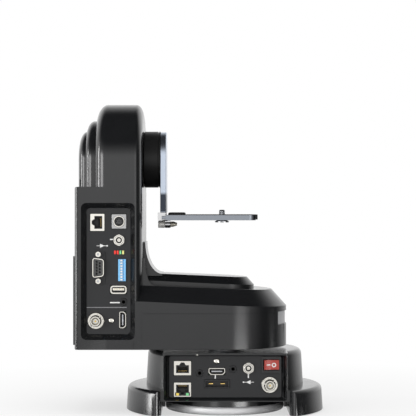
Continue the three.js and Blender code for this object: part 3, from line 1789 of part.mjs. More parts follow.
function buildTowerPanel() {
  const group = panelGroup(yoke, towerPanel.face);
  const depth = towerPanel.boardDepth;
  const p = towerPlaces;
  const quarter = Math.PI / 2;
  addPiece(group, "tower_socket_panel", towerPanelSolid(), "panel");
  addPiece(
    group,
    "tower_circuit_board",
    circuitBoard(towerPanelOutline(towerPanel.boardInset), towerPanel),
    "green",
  );
  placeAt(addPiece(group, "tower_network_socket", networkSocket(depth), "nickel"), p.network, quarter);
  placeAt(addPiece(group, "tower_control_socket", dinSocket(depth), "black"), p.din);
  placeAt(addPiece(group, "tower_power_socket", powerSocket(depth), "nickel"), p.power);
  addPiece(group, "status_lamps", statusLamps(towerPanel.thickness), "white");
  placeAt(addPiece(group, "tower_serial_socket", serialSocket(depth), "nickel"), p.serial);
  placeAt(addPiece(group, "dip_switch_body", dipBody(depth), "blue"), p.dip);
  dipLeverYs.forEach((y, i) => {
    const slider = addPiece(group, "dip_lever_" + (i + 1), dipLever(), "white");
    slider.position.set(p.dip.x, p.dip.z + y, 0);
  });
  placeAt(addPiece(group, "tower_usb_socket", usbSocket(depth), "nickel"), p.usb);
  placeAt(addPiece(group, "tower_audio_jack", audioJack(depth), "black"), p.audio);
  placeAt(addPiece(group, "tower_bnc_socket", bncSocket(depth), "nickel"), p.bnc, Math.PI / 4);
  placeAt(addPiece(group, "tower_hdmi_socket", hdmiSocket(depth), "nickel"), p.hdmi, quarter);
}

function buildHead() {
  addPiece(head, "tilt_shaft", tiltShaftSolid(), "steel");
  addPiece(head, "tilt_gear", tiltWheel(), "brass");
  addPiece(head, "tilt_drum", tiltDrum(), "black");
  addPiece(head, "bracket_upright", bracketUpright(), "alloy");
  addPiece(head, "bracket_corner_block", cornerBlock(), "silver");
  addPiece(head, "camera_plate", cameraPlate(), "alloy");
  addPiece(head, "plate_pad", platePad(), "black");
  const washer = addPiece(head, "camera_screw_washer", screwWasher(), "black");
  washer.position.set(cameraScrew.x, 0, plate.bottom);
  const screw = addPiece(head, "camera_screw", cameraScrewSolid(), "steel");
  screw.position.set(cameraScrew.x, 0, plate.bottom);
  [["clamp_screw_rear", -clamp.spacing], ["clamp_screw_front", clamp.spacing]].forEach(([name, y]) => {
    addPiece(head, name, clampScrew(), "nickel").position.set(0, y, clampHeight);
  });
}

buildBase();
buildBasePanel();
buildArm();
buildTower();
buildTowerPanel();
buildHead();

export default root;
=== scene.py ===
# %% [markdown]
# # A remote pan and tilt head, dressed for its photograph
# A robotic camera head stands on a round base. An arm turns on the base, a tower stands at the arm's end,
# and an L-shaped bracket tilts on the tower's inner side. The frame brings every part in its true place, with
# plain faceted solids. This lesson gives them smooth forms, real edges and finishes.
# We start by loading the frame.

# %% Load the frame
import math

import bmesh
import bpy
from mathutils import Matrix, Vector


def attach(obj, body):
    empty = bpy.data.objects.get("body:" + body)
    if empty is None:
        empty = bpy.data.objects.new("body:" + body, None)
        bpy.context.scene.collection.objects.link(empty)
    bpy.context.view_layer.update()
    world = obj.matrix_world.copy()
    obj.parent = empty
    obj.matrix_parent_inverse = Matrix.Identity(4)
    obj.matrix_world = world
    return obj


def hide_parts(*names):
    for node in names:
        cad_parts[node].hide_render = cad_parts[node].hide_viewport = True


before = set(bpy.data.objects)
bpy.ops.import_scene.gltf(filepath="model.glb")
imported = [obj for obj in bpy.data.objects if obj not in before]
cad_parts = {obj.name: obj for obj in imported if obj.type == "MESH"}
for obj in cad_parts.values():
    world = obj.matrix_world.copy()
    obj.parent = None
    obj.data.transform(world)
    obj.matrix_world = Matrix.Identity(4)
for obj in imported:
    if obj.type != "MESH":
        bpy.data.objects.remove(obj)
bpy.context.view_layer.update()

# %% [markdown]
# ## Working in millimetres
# The frame is in metres, but such a machine is drawn in millimetres, so the helpers below take millimetres.
# A primitive is added at its size and place, and its object is then set back to the origin with
# transform_apply, so that the place is held by the mesh.

# %% Primitives at their place
MM = 0.001
TURNS = {"X": (0, math.pi / 2, 0), "Y": (-math.pi / 2, 0, 0), "Z": (0, 0, 0)}


def pick(piece):
    """Leaves one object selected and active."""
    bpy.ops.object.select_all(action="DESELECT")
    piece.select_set(True)
    bpy.context.view_layer.objects.active = piece


def bake():
    bpy.ops.object.transform_apply(location=True, rotation=True, scale=True)


def fresh(name):
    piece = bpy.context.object
    piece.name = name
    bake()
    return piece


def box(name, low, high):
    low, high = Vector(low) * MM, Vector(high) * MM
    bpy.ops.mesh.primitive_cube_add(size=1, location=(low + high) / 2, scale=high - low)
    return fresh(name)


def on_line(along, axis, centre):
    """The point at a distance along a line; centre is where the line crosses the other two axes."""
    return {"X": (along, *centre), "Y": (centre[0], along, centre[1]), "Z": (*centre, along)}[axis]


def rod(name, radius, low, high, axis="Z", centre=(0, 0), sides=64):
    bpy.ops.mesh.primitive_cylinder_add(
        vertices=sides,
        radius=radius * MM,
        depth=(high - low) * MM,
        location=Vector(on_line((low + high) / 2, axis, centre)) * MM,
        rotation=TURNS[axis],
    )
    return fresh(name)


print("a millimetre is", MM, "m")

# %% [markdown]
# ## Selecting by place
# With no window there is nothing to click, so faces, edges and corners are chosen by a test on their middle,
# in millimetres. The edit operators then work on that selection, as they do by hand.

# %% Edit mode and selection
def edit(piece):
    pick(piece)
    bpy.ops.object.mode_set(mode="EDIT")
    bpy.ops.mesh.select_all(action="DESELECT")


def done():
    bpy.ops.object.mode_set(mode="OBJECT")


def middle_of(item):
    if isinstance(item, bmesh.types.BMVert):
        return item.co / MM
    if isinstance(item, bmesh.types.BMEdge):
        return (item.verts[0].co + item.verts[1].co) / 2 / MM
    return item.calc_center_median() / MM


def choose(kind, test):
    mesh_data = bpy.context.object.data
    bpy.ops.mesh.select_mode(type=kind)
    bpy.ops.mesh.select_all(action="DESELECT")
    mesh = bmesh.from_edit_mesh(mesh_data)
    for item in {"VERT": mesh.verts, "EDGE": mesh.edges, "FACE": mesh.faces}[kind]:
        if test(middle_of(item), item):
            item.select_set(True)
    mesh.select_flush_mode()
    bmesh.update_edit_mesh(mesh_data)


def choose_all():
    bpy.ops.mesh.select_all(action="SELECT")


def choose_side(axis, way):
    """The flat faces that look along an axis, forwards or backwards."""
    choose("FACE", lambda at, face: face.normal["XYZ".index(axis)] * way > 0.9)


def runs(edge, axis):
    step = edge.verts[1].co - edge.verts[0].co
    return abs(step.normalized()["XYZ".index(axis)]) > 0.99


print("selection helpers are ready")

# %% [markdown]
# Each edit operator gets a short name of its own that takes millimetres. Rounding the edges that run along
# one axis is the step that nearly every milled or moulded piece needs, so it is one call.

# %% Edit operators
def extrude(x=0.0, y=0.0, z=0.0):
    bpy.ops.mesh.extrude_region_move(TRANSFORM_OT_translate={"value": (x * MM, y * MM, z * MM)})


def move(x=0.0, y=0.0, z=0.0):
    bpy.ops.transform.translate(value=(x * MM, y * MM, z * MM))


def resize(x, y, z, centre=(0, 0, 0)):
    bpy.ops.transform.resize(value=(x, y, z), center_override=Vector(centre) * MM)


def inset(thickness, depth=0.0):
    bpy.ops.mesh.inset(thickness=thickness * MM, depth=depth * MM)


def bevel(width, segments=4, profile=0.5):
    bpy.ops.mesh.bevel(offset=width * MM, segments=segments, profile=profile, clamp_overlap=False)


def outwards():
    choose_all()
    bpy.ops.mesh.remove_doubles(threshold=1e-6)
    bpy.ops.mesh.normals_make_consistent(inside=False)


def round_edges(piece, axis, width, segments=4, where=lambda at: True, profile=0.5):
    edit(piece)
    choose("EDGE", lambda at, edge: runs(edge, axis) and where(at))
    bevel(width, segments, profile)
    done()
    return piece


print("edit operators are ready")

# %% [markdown]
# ## Cutting, joining and finishing
# Castings get their pockets and bores from Boolean modifiers, which are applied at once. Every real edge is
# a little round, and that is what catches the light, so the last modifier is a small Bevel with hardened
# normals, which keeps the flat faces flat.

# %% Boolean and edge finish
def combine(piece, tool, operation):
    modifier = piece.modifiers.new("combine", "BOOLEAN")
    modifier.object = tool
    modifier.operation = operation
    modifier.solver = "EXACT"
    pick(piece)
    bpy.ops.object.modifier_apply(modifier=modifier.name)
    if not piece.data.polygons:
        raise ValueError(f"{tool.name} leaves nothing of {piece.name}")
    bpy.data.objects.remove(tool)
    return piece


def carve(piece, *tools):
    for tool in tools:
        combine(piece, tool, "DIFFERENCE")
    return piece


def weld(piece, *tools):
    for tool in tools:
        combine(piece, tool, "UNION")
    return piece


def soften(piece, width=0.0, angle=35):
    pick(piece)
    bpy.ops.object.shade_smooth_by_angle(angle=math.radians(angle))
    if width:
        modifier = piece.modifiers.new("edges", "BEVEL")
        modifier.width = width * MM
        modifier.segments = 2
        modifier.limit_method = "ANGLE"
        modifier.angle_limit = math.radians(angle)
        modifier.harden_normals = True
        bpy.ops.object.modifier_apply(modifier=modifier.name)
    return piece


print("shaping helpers are ready")

# %% [markdown]
# A finished piece rides on a body of the frame, so that it follows the body's joint. It stands in for the
# frame node that it dresses, where it has one.

# %% Dressing and handing over a piece
def dress(piece, material):
    piece.data.materials.clear()
    piece.data.materials.append(material)
    return piece


def keep(piece, body, node):
    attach(piece, body)
    if node:
        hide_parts(node)
    triangles = sum(len(face.vertices) - 2 for face in piece.data.polygons)
    print(piece.name, "has", triangles, "triangles")
    return piece


def finish(piece, material, body, node, edge=0.0, angle=35):
    return keep(dress(soften(piece, edge, angle), material), body, node)


print("finishing helpers are ready")

# %% [markdown]
# ## Shader maths in plain Python
# A procedural finish is arithmetic on position: rings, grain, brush marks. The small class below wraps a
# node socket, so that `rings * 0.4 + 0.1` adds the Math nodes by itself.

# %% A socket that can be calculated with
class Value:
    def __init__(self, tree, socket):
        self.tree = tree
        self.socket = socket

    def math(self, operation, *others):
        node = make(self.tree, "ShaderNodeMath", {"operation": operation}, self, *others)
        return Value(self.tree, node.outputs[0])

    def __add__(self, other):
        return self.math("ADD", other)

    __radd__ = __add__

    def __sub__(self, other):
        return self.math("SUBTRACT", other)

    def __rsub__(self, other):
        return self.math("MULTIPLY", -1).math("ADD", other)

    def __mul__(self, other):
        return self.math("MULTIPLY", other)

    def __truediv__(self, other):
        return self.math("DIVIDE", other)

    def __pow__(self, other):
        return self.math("POWER", other)

    def clamped(self):
        return self.math("MAXIMUM", 0).math("MINIMUM", 1)


def connect(tree, value, target):
    if isinstance(value, Value):
        value = value.socket
    if isinstance(value, bpy.types.NodeSocket):
        tree.links.new(value, target)
    else:
        target.default_value = value


def make(tree, kind, settings, *inputs, **named):
    node = tree.nodes.new(kind)
    for key, setting in settings.items():
        setattr(node, key, setting)
    for key, value in list(enumerate(inputs)) + list(named.items()):
        connect(tree, value, node.inputs[key])
    return node


print("shader maths is ready")

# %% [markdown]
# ## One surface recipe for every finish
# Paint, moulded plastic and machined metal all go through Principled BSDF. Each has a colour that wavers a
# little, a roughness that wavers more, and a bump: an orange peel in paint, brush marks in metal. The
# patterns read Object coordinates, which are metres here, so a scale of 900 is about a millimetre.

# %% Patterns and colours
def position(tree):
    return make(tree, "ShaderNodeTexCoord", {}).outputs["Object"]


def noise(tree, place, scale, detail=2):
    node = make(tree, "ShaderNodeTexNoise", {}, Vector=place, Scale=scale, Detail=detail)
    return Value(tree, node.outputs["Fac"])


def parts_of(tree, place):
    return [Value(tree, part) for part in make(tree, "ShaderNodeSeparateXYZ", {}, place).outputs]


def rgba(color):
    """A single number is a grey."""
    return (color, color, color, 1) if isinstance(color, (int, float)) else (*color, 1)


def mix_colors(tree, share, low, high):
    mix = make(tree, "ShaderNodeMix", {"data_type": "RGBA"}, share)
    for color, target in zip((low, high), mix.inputs[6:8]):
        connect(tree, color if isinstance(color, bpy.types.NodeSocket) else rgba(color), target)
    return mix.outputs[2]


print("patterns are ready")


# %% The surface recipe
def surface(name, metallic=0.0, specular=0.5):
    material = bpy.data.materials.new(name)
    material.use_nodes = True
    tree = material.node_tree
    shader = tree.nodes["Principled BSDF"]
    shader.inputs["Metallic"].default_value = metallic
    shader.inputs["Specular IOR Level"].default_value = specular
    return material, tree, shader


def drive(tree, shader, color, roughness, height, distance, strength=1.0):
    connect(tree, color, shader.inputs["Base Color"])
    connect(tree, roughness.clamped(), shader.inputs["Roughness"])
    bump = make(tree, "ShaderNodeBump", {}, Strength=strength, Distance=distance * MM, Height=height)
    connect(tree, bump.outputs[0], shader.inputs["Normal"])


def wavering(name, low, high, rough, sway, relief, pattern, metallic=0.0, specular=0.5):
    """A finish whose colour, roughness and bump follow pattern(tree): cloud, marks and the marks' share."""
    material, tree, shader = surface(name, metallic, specular)
    broad, fine, share = pattern(tree)
    color = mix_colors(tree, broad * (1 - share) + fine * share, low, high)
    drive(tree, shader, color, rough + (broad - 0.5) * sway + (fine - 0.5) * sway, fine, relief)
    return material


def grainy(name, low, high, rough, sway, grain, relief, metallic=0.0, specular=0.5):
    def pattern(tree):
        place = position(tree)
        return noise(tree, place, 28), noise(tree, place, grain, 3), 0.3

    return wavering(name, low, high, rough, sway, relief, pattern, metallic, specular)


print("surface recipe is ready")

# %% [markdown]
# ## Paints, mouldings and metals
# The housings are cast and painted semi-gloss black: nearly black in colour, and grey only where they
# reflect the bright room. The rear panels are a flatter dark grey, with the fine tooth of powder paint.

# %% Paints and mouldings
paint_low, paint_high = (0.006, 0.0063, 0.007), (0.0095, 0.01, 0.011)
paint = grainy("semi gloss black paint", paint_low, paint_high, 0.2, 0.06, 1500, 0.006, 0.0, 0.52)
powder_low, powder_high = (0.008, 0.0083, 0.0095), (0.013, 0.0135, 0.015)
panel_paint = grainy("dark grey powder paint", powder_low, powder_high, 0.5, 0.12, 2600, 0.02)
black_plastic = grainy("black moulding", (0.008, 0.008, 0.009), (0.016, 0.016, 0.017), 0.42, 0.12, 2200, 0.01)
drum_black = grainy("black anodising", 0.006, 0.012, 0.45, 0.1, 2400, 0.01, 0.0, 0.3)
rubber = grainy("black rubber mat", 0.012, 0.03, 0.75, 0.15, 1800, 0.05, 0.0, 0.3)
red_plastic = grainy("red moulding", (0.36, 0.035, 0.025), (0.44, 0.05, 0.035), 0.3, 0.08, 1400, 0.01)
blue_plastic = grainy("blue moulding", (0.18, 0.48, 0.82), (0.24, 0.56, 0.9), 0.4, 0.1, 1600, 0.01)
white_plastic = grainy("white moulding", (0.74, 0.74, 0.72), (0.84, 0.84, 0.82), 0.42, 0.1, 1600, 0.01)
board_green = grainy("green circuit board", (0.02, 0.11, 0.04), (0.035, 0.17, 0.06), 0.45, 0.12, 700, 0.02)
print("made", len(bpy.data.materials), "materials so far")

# %% [markdown]
# Turned metal carries fine rings about its axis, and milled or brushed metal has marks along one direction.
# Both are noise that is squeezed along the direction in which the tool ran.

# %% Metals
def brushed(name, low, high, rough, sway, stretch, relief):
    def pattern(tree):
        squeezed = make(tree, "ShaderNodeMapping", {}, position(tree), Scale=stretch).outputs[0]
        return noise(tree, position(tree), 35), noise(tree, squeezed, 1.0, 3), 0.5

    return wavering(name, low, high, rough, sway, relief, pattern, 1.0)


def rings(tree):
    x, y, z = parts_of(tree, position(tree))
    radius = (x * x + y * y) ** 0.5
    place = make(tree, "ShaderNodeCombineXYZ", {}, radius + z * 0.6, 0.0, 0.0).outputs[0]
    return noise(tree, position(tree), 30), noise(tree, place, 2600), 0.4


disc_low, disc_high = (0.7, 0.7, 0.71), (0.82, 0.82, 0.83)
disc_metal = wavering("turned silver disc", disc_low, disc_high, 0.5, 0.12, 0.01, rings, 0.35)
plate_low, plate_high = (0.2, 0.215, 0.24), (0.28, 0.3, 0.33)
plate_metal = brushed("brushed anodised plate", plate_low, plate_high, 0.28, 0.08, (160, 2400, 2400), 0.003)
upright_low, upright_high, upright_marks = (0.46, 0.52, 0.62), (0.56, 0.62, 0.7), (2400, 2400, 160)
upright_metal = brushed(
    "brushed anodised upright", upright_low, upright_high, 0.34, 0.08, upright_marks, 0.002
)
block_low, block_high = (0.5, 0.5, 0.505), (0.6, 0.6, 0.605)
block_metal = brushed("milled block", block_low, block_high, 0.24, 0.1, (2200, 80, 2200), 0.003)
nickel = grainy("nickel plating", (0.58, 0.56, 0.51), (0.76, 0.74, 0.69), 0.2, 0.1, 900, 0.004, 1.0)
clamp_metal = grainy("satin nickel", (0.66, 0.65, 0.62), (0.76, 0.75, 0.72), 0.42, 0.1, 900, 0.004, 0.35)
steel = grainy("machined steel", (0.38, 0.39, 0.41), (0.5, 0.51, 0.53), 0.34, 0.12, 1100, 0.006, 1.0)
tip_metal = grainy("dull brass", (0.4, 0.375, 0.31), (0.53, 0.505, 0.43), 0.4, 0.1, 900, 0.004, 0.5)
brass = grainy("machined brass", (0.52, 0.38, 0.15), (0.66, 0.5, 0.24), 0.3, 0.12, 1100, 0.006, 1.0)
gold = grainy("gilt contact", (0.72, 0.5, 0.16), (0.86, 0.62, 0.24), 0.25, 0.08, 1500, 0.003, 1.0)
print("made", len(bpy.data.materials), "materials so far")

# %% [markdown]
# The upright's lower part carries a painted dark reflection, up to a soft line a little above the camera
# plate.
# A second colour is mixed in there by height, so the plate stays one piece.

# %% The upright's painted dark reflection
def paint_dark_reflection(material, low, high, tone):
    """Mixes a painted dark reflection in between two heights; the upper edge is the softer one."""
    tree = material.node_tree
    target = tree.nodes["Principled BSDF"].inputs["Base Color"]
    height = parts_of(tree, position(tree))[2]
    share = ((high * MM - height) / (2.8 * MM)).clamped() * ((height - low * MM) / MM).clamped()
    connect(tree, mix_colors(tree, share, target.links[0].from_socket, tone), target)


# The heights between which the painted dark reflection lies on the upright
reflection_bottom, reflection_top = 188.9, 208.2
paint_dark_reflection(upright_metal, reflection_bottom, reflection_top, (0.045, 0.052, 0.066))
print("the foot is dark up to", reflection_top, "mm")

# %% [markdown]
# The inner mechanism and the flat panels keep the frame's own solids, which are true to size. They only get
# their materials, so that they look right through every opening.

# %% Dress the inner nodes
node_materials = [
    (steel, "pan_spindle pan_bearing pan_motor pan_pinion tilt_shaft tilt_bearing tilt_motor tilt_pinion"),
    (brass, "pan_gear tilt_gear"),
    (plate_metal, "drive_plate"),
    (board_green, "base_circuit_board tower_circuit_board"),
    (panel_paint, "base_socket_panel tower_socket_panel service_hatch"),
]
for material, names in node_materials:
    for name in names.split():
        dress(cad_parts[name], material)
    print(names, "in", material.name)

# %% [markdown]
# ## The mounting disc
# A turned disc of silver metal under the base, with a full round rim. A cylinder whose two rims are bevelled
# gives that bullnose. Four blind screw holes are bored into its underside.

# %% Mounting disc
disc_radius, disc_height, disc_rim = 57, 8, 3
hole_circle, hole_radius, hole_depth = 35, 3.4, 6
disc = rod("mounting_disc_fine", disc_radius, 0, disc_height, sides=144)
edit(disc)
choose("EDGE", lambda at, edge: not runs(edge, "Z"))
bevel(disc_rim, 6)
done()
for quarter in range(4):
    angle = math.pi / 4 + quarter * math.pi / 2
    hole_at = (hole_circle * math.cos(angle), hole_circle * math.sin(angle))
    carve(disc, rod("hole", hole_radius, -1, hole_depth, centre=hole_at, sides=32))
finish(disc, disc_metal, "base", "mounting_disc")

# %% [markdown]
# ## The base housing
# Two round tiers, one on the other, each with a slight draft and a rounded shoulder. A flat-faced bay at
# the rear frames the sockets. The tiers start as one cylinder: its top face is inset, raised and narrowed,
# and the two shoulders are bevelled. The same function, drawn a wall smaller, gives the hollow inside.

# %% Base tiers
base_foot, base_shoulder, base_top = 1, 24, 58.5
lower_radius, lower_draft, tier_step, upper_draft = 94.5, 1.5, 17.5, 2
shoulder_round, top_round = 4, 4.5
wall = 2.5


def tiers(name, drawn_in, foot):
    shoulder, top = base_shoulder - drawn_in, base_top - drawn_in
    body = rod(name, lower_radius - drawn_in, foot, shoulder, sides=160)
    edit(body)
    choose_side("Z", 1)
    lower_top = lower_radius - lower_draft - drawn_in
    upper_foot, upper_top = lower_top - tier_step, lower_top - tier_step - upper_draft
    share = lower_top / (lower_radius - drawn_in)
    resize(share, share, 1)
    inset(tier_step)
    extrude(z=base_top - base_shoulder)
    share = upper_top / upper_foot
    resize(share, share, 1)
    for height, radius, width in [(shoulder, lower_top, shoulder_round), (top, upper_top, top_round)]:
        choose(
            "EDGE",
            lambda at, edge: abs(at.z - height) < 0.2 and abs(math.hypot(at.x, at.y) - radius) < 0.4,
        )
        bevel(max(width - drawn_in, 0.5), 6)
    done()
    return body


housing = tiers("base_housing_fine", 0, base_foot)
print("tiers reach", round(max(v.co.z for v in housing.data.vertices) / MM, 2), "mm")

# %% [markdown]
# In front of the bay the lower tier is cut away, which leaves a lobe on each side. The cutter's own outline
# rounds the lobes' ends: its two outer corners lose a round bar that touches both the cut and the tier.

# %% The cut for the bay
bay_half, bay_face, bay_bottom, bay_round = 58, 61, 13.5, 1.2
lobe_at, lobe_round = 59.75, 5
far, under = 120, -5


def bay_cutter(name):
    cutter = box(name, (-lobe_at, -far, under), (lobe_at, -bay_face, 70))
    round_x = lobe_at + lobe_round
    round_y = -math.sqrt((lower_radius - lobe_round) ** 2 - round_x**2)
    touch_x = round_x * lower_radius / (lower_radius - lobe_round)
    for side in (-1, 1):
        near, out = sorted((side * (lobe_at - 1), side * touch_x))
        corner = box("corner", (near, -far, under), (out, round_y, 70))
        carve(corner, rod("round", lobe_round, under - 1, 71, centre=(side * round_x, round_y), sides=96))
        weld(cutter, corner)
    return cutter


carve(housing, bay_cutter("cutter"))
bay = box("bay", (-bay_half, -bay_face, bay_bottom - 1), (bay_half, -20, base_top))
round_edges(bay, "Z", bay_round, where=lambda at: at.y < 1 - bay_face)
weld(housing, bay)
print("the bay is", 2 * bay_half, "mm wide")

# %% [markdown]
# The sockets sit in a recess with slanted cheeks. A box is pushed in, its inner end is made smaller, and the
# end is drawn on as far as the panel's room goes. The tower gets its recess from the same function.

# %% A recess with slanted cheeks
def recess(name, mouth, opening, face, depth, back, corner):
    """mouth and opening are x0, x1, z0, z1 at the face and at the recess's depth."""
    x0, x1, z0, z1 = mouth
    pocket = round_edges(box(name, (x0, -face, z0), (x1, depth - face, z1)), "Y", corner, 6)
    edit(pocket)
    choose_side("Y", 1)
    middle = ((x0 + x1) / 2, depth - face, (z0 + z1) / 2)
    resize((opening[1] - opening[0]) / (x1 - x0), 1, (opening[3] - opening[2]) / (z1 - z0), middle)
    move(x=(sum(opening[:2]) - x0 - x1) / 2, z=(sum(opening[2:]) - z0 - z1) / 2)
    extrude(y=back)
    choose_side("Y", -1)
    extrude(y=-0.5)
    done()
    return pocket


print("recess is ready")

# %% [markdown]
# Under the bay the casting is cut away round a drum as wide as the mounting disc, so that the disc's rear rim
# shows. The same cut, grown by a wall, limits the hollow inside.

# %% Undercut and hollow
panel_face, panel_half, panel_bottom, panel_top, panel_back = 55, 52.5, 16.5, 55.6, 2.3
hollow_foot, hollow_top, backing_half = 11, 56, 54.5


def undercut(name, growth):
    half, top = bay_half + 1.5 + growth, bay_bottom + growth
    space = box(name, (-half, -far, under), (half, growth, top))
    return carve(space, rod("drum", disc_radius - growth, disc_height, top + 2, sides=144))


carve(housing, undercut("undercut", 0))
hollow = tiers("hollow", wall, hollow_foot)
carve(hollow, box("front", (-far, -far, 0), (far, wall - bay_face, 70)), undercut("grown", wall))
room_low = (wall - bay_half, wall - bay_face, bay_bottom + wall)
weld(hollow, box("bay_hollow", room_low, (bay_half - wall, -30, hollow_top)))
backing_high = (backing_half, panel_back - panel_face, hollow_top)
carve(hollow, box("backing", (-backing_half, -bay_face, bay_bottom), backing_high))
mouth = (1 - bay_half, bay_half - 1, panel_bottom - 2, panel_top + 1)
opening = (-panel_half, panel_half, panel_bottom, panel_top)
pocket = recess("pocket", mouth, opening, bay_face, bay_face - panel_face, 20, 2)
underside = rod("underside", lower_radius - wall, -2, disc_height, sides=144)
carve(underside, box("side_keep", (-62, -100, under), (62, wall, 10)))
carve(underside, box("rear_keep", (-100, -100, under), (100, wall - bay_face, 10)))
carve(housing, hollow, pocket, underside)
carve(housing, rod("disc_pocket", disc_radius + 0.3, -2, disc_height, sides=144))
neck_radius, foot_radius = 24, 30.3
carve(housing, rod("neck", neck_radius, 50, 60), rod("foot", foot_radius, 5, 12))
finish(housing, paint, "base", "base_housing", 0.4)

# %% [markdown]
# ## The pan arm
# In plan the arm is a round end on straight sides. It starts as a circle: the half towards the tower is
# deleted, the two open ends are drawn out to the tower, and the outline is filled and raised.

# %% The arm's plan
arm_bottom, arm_seam, arm_ridge, arm_half, tower_face = 61.4, 95, 102.5, 59.3, -77.6
arm_slope = 0.0487


def arm_plan(name, radius, end, bottom, top):
    bpy.ops.mesh.primitive_circle_add(
        vertices=144, radius=radius * MM, fill_type="NOTHING", location=(0, 0, bottom * MM)
    )
    plan = fresh(name)
    edit(plan)
    choose("VERT", lambda at, vert: at.x < -0.01)
    bpy.ops.mesh.delete(type="VERT")
    choose("VERT", lambda at, vert: at.x < 0.01)
    extrude(x=end)
    choose_all()
    bpy.ops.mesh.edge_face_add()
    extrude(z=top - bottom)
    outwards()
    choose_side("Z", 1)
    return plan


def top_z(piece, x):
    heights = [v.co.z / MM for v in piece.data.vertices if abs(v.co.x / MM - x) < 1.5]
    return round(max(heights), 2)


passage_half = 28.2
spindle_top, spindle_outer, spindle_bore, spindle_rise = 73, 23.5, 20.3, 11
shell = arm_plan("arm_shell_fine", arm_half, tower_face, arm_bottom, arm_seam)
done()
inside = arm_plan("inside", arm_half - wall, tower_face + wall, arm_bottom + wall, arm_seam + 2)
done()
carve(shell, inside)
weld(shell, rod("housing", spindle_outer, arm_bottom, arm_bottom + spindle_rise, sides=96))
carve(shell, rod("bore", spindle_bore, 60, spindle_top, sides=96))
passage_low = (tower_face - 1, -passage_half, arm_bottom + wall)
carve(shell, box("passage", passage_low, (tower_face + 4, passage_half, 97)))
print("arm shell top:", top_z(shell, 0))

# %% [markdown]
# The tally window is a bent grey strip let into the round end, under the cover. Its pocket is a sector of a
# ring, made by spinning one small rectangle about the pan axis.

# %% Tally window
def ring_sector(name, inner, outer, bottom, top, half_angle):
    half = math.radians(half_angle)
    sector = box(name, (inner, -0.1, bottom), (outer, 0.1, top))
    edit(sector)
    choose("FACE", lambda at, face: face.normal.y < 0)
    bpy.ops.mesh.select_all(action="INVERT")
    bpy.ops.mesh.delete(type="FACE")
    choose_all()
    resize(1, 0, 1)
    bpy.ops.transform.rotate(value=-half, orient_axis="Z", center_override=(0, 0, 0))
    bpy.ops.mesh.spin(steps=32, angle=2 * half, center=(0, 0, 0), axis=(0, 0, 1))
    choose_all()
    outwards()
    done()
    print(name, "reaches", round(max(v.co.y for v in sector.data.vertices) / MM, 2), "mm to each side")
    return sector


window_bottom, window_reach = arm_seam - 12.4, 32
window_inner, window_outer, window_gap = 55, 58.1, 0.3
carve(shell, ring_sector("notch", window_inner, 61, window_bottom, arm_seam + 1, window_reach))
finish(shell, paint, "yoke", "arm_shell", 0.3)
window_start, window_angle = window_inner + window_gap, window_reach - window_gap
window = ring_sector("tally_window_fine", window_start, window_outer, window_bottom, arm_seam, window_angle)

# %% [markdown]
# Inside, the window has fine upright ribs that spread the light of the lamps behind it. They are a wave in
# the angle about the pan axis, which feeds the bump.

# %% Ribbed window plastic
ribs_in_turn = 150
window_plastic, tree, shader = surface("ribbed translucent window")
x, y, z = parts_of(tree, position(tree))
ribs = y.math("ARCTAN2", x).math("MULTIPLY", ribs_in_turn).math("SINE") * 0.5 + 0.5
cloud = noise(tree, position(tree), 60)
window_tone = mix_colors(tree, ribs * 0.5 + cloud * 0.5, (0.3, 0.3, 0.31), (0.42, 0.42, 0.43))
drive(tree, shader, window_tone, cloud * 0.1 + 0.25, ribs, 0.15, 0.6)
finish(window, window_plastic, "yoke", "tally_window", 0.3)

# %% [markdown]
# ## The arm's cover
# The cover rises a little, leans in at 45 degrees and ends in a deck that falls towards the round end. An
# inset with a depth gives the lean, and the end at the tower is pulled back to the tower's face. A raised
# band with its own chamfer runs along the middle.

# %% Arm cover
chamfer = 14.8
deck = arm_ridge + chamfer
band_half, band_rise, band_chamfer = 28.2, 3.5, 7


def slope_top(height):
    """Leans the chosen top face, which falls towards the round end, and keeps its length."""
    lean = math.atan(arm_slope)
    bpy.ops.transform.rotate(value=-lean, orient_axis="Y", center_override=(0, 0, height * MM))
    resize(1 / math.cos(lean), 1, 1, (0, 0, height))


def leaning_lid(name, radius, bottom, ridge, run, rise, end=tower_face):
    lid = arm_plan(name, radius, end, bottom, ridge)
    slope_top(ridge)
    inset(run, rise)
    choose("VERT", lambda at, vert: at.x < end + run + 2 and at.z > ridge + rise / 2 + 1)
    resize(0, 1, 1, (end, 0, 0))
    outwards()
    done()
    return lid


cover = leaning_lid("arm_cover_fine", arm_half, arm_seam, arm_ridge, chamfer, chamfer)
print("cover top at the axis:", top_z(cover, 0), "and at the tower:", top_z(cover, tower_face))
band = leaning_lid("band", band_half, deck - 2, deck + band_rise, band_chamfer, band_chamfer)
print("band top at the axis:", top_z(band, 0), "and at the tower:", top_z(band, tower_face))

# %% [markdown]
# Where the deck meets the tower, two hollow-curved webs stiffen the corner, one across the deck and a
# narrower one on the band. Each is a block from which a lying elliptical cylinder is cut.

# %% Corner webs
web_lip = 2.0
deck_at_tower = deck - arm_slope * tower_face


def web(name, half_width, foot, height, reach):
    end = tower_face + web_lip + reach
    slab = box(name, (tower_face, -half_width, foot - 2), (end, half_width, foot + height))
    scoop = rod("scoop", 1, -half_width - 5, half_width + 5, axis="Y", sides=144)
    edit(scoop)
    choose_all()
    resize(reach, 1, height)
    move(x=end, z=foot + height)
    done()
    return carve(slab, scoop)


weld(cover, band)
weld(cover, web("wide_web", 42.6, deck_at_tower - 1, 26, 9.5))
weld(cover, web("narrow_web", 24.7, deck_at_tower + 9.5, 30, 16))
inside = leaning_lid("inside", arm_half - wall, arm_seam - 1, arm_ridge - 1, 13.8, 13.3, tower_face + wall)
carve(cover, inside)
finish(cover, paint, "yoke", "arm_cover", 0.5, 30)

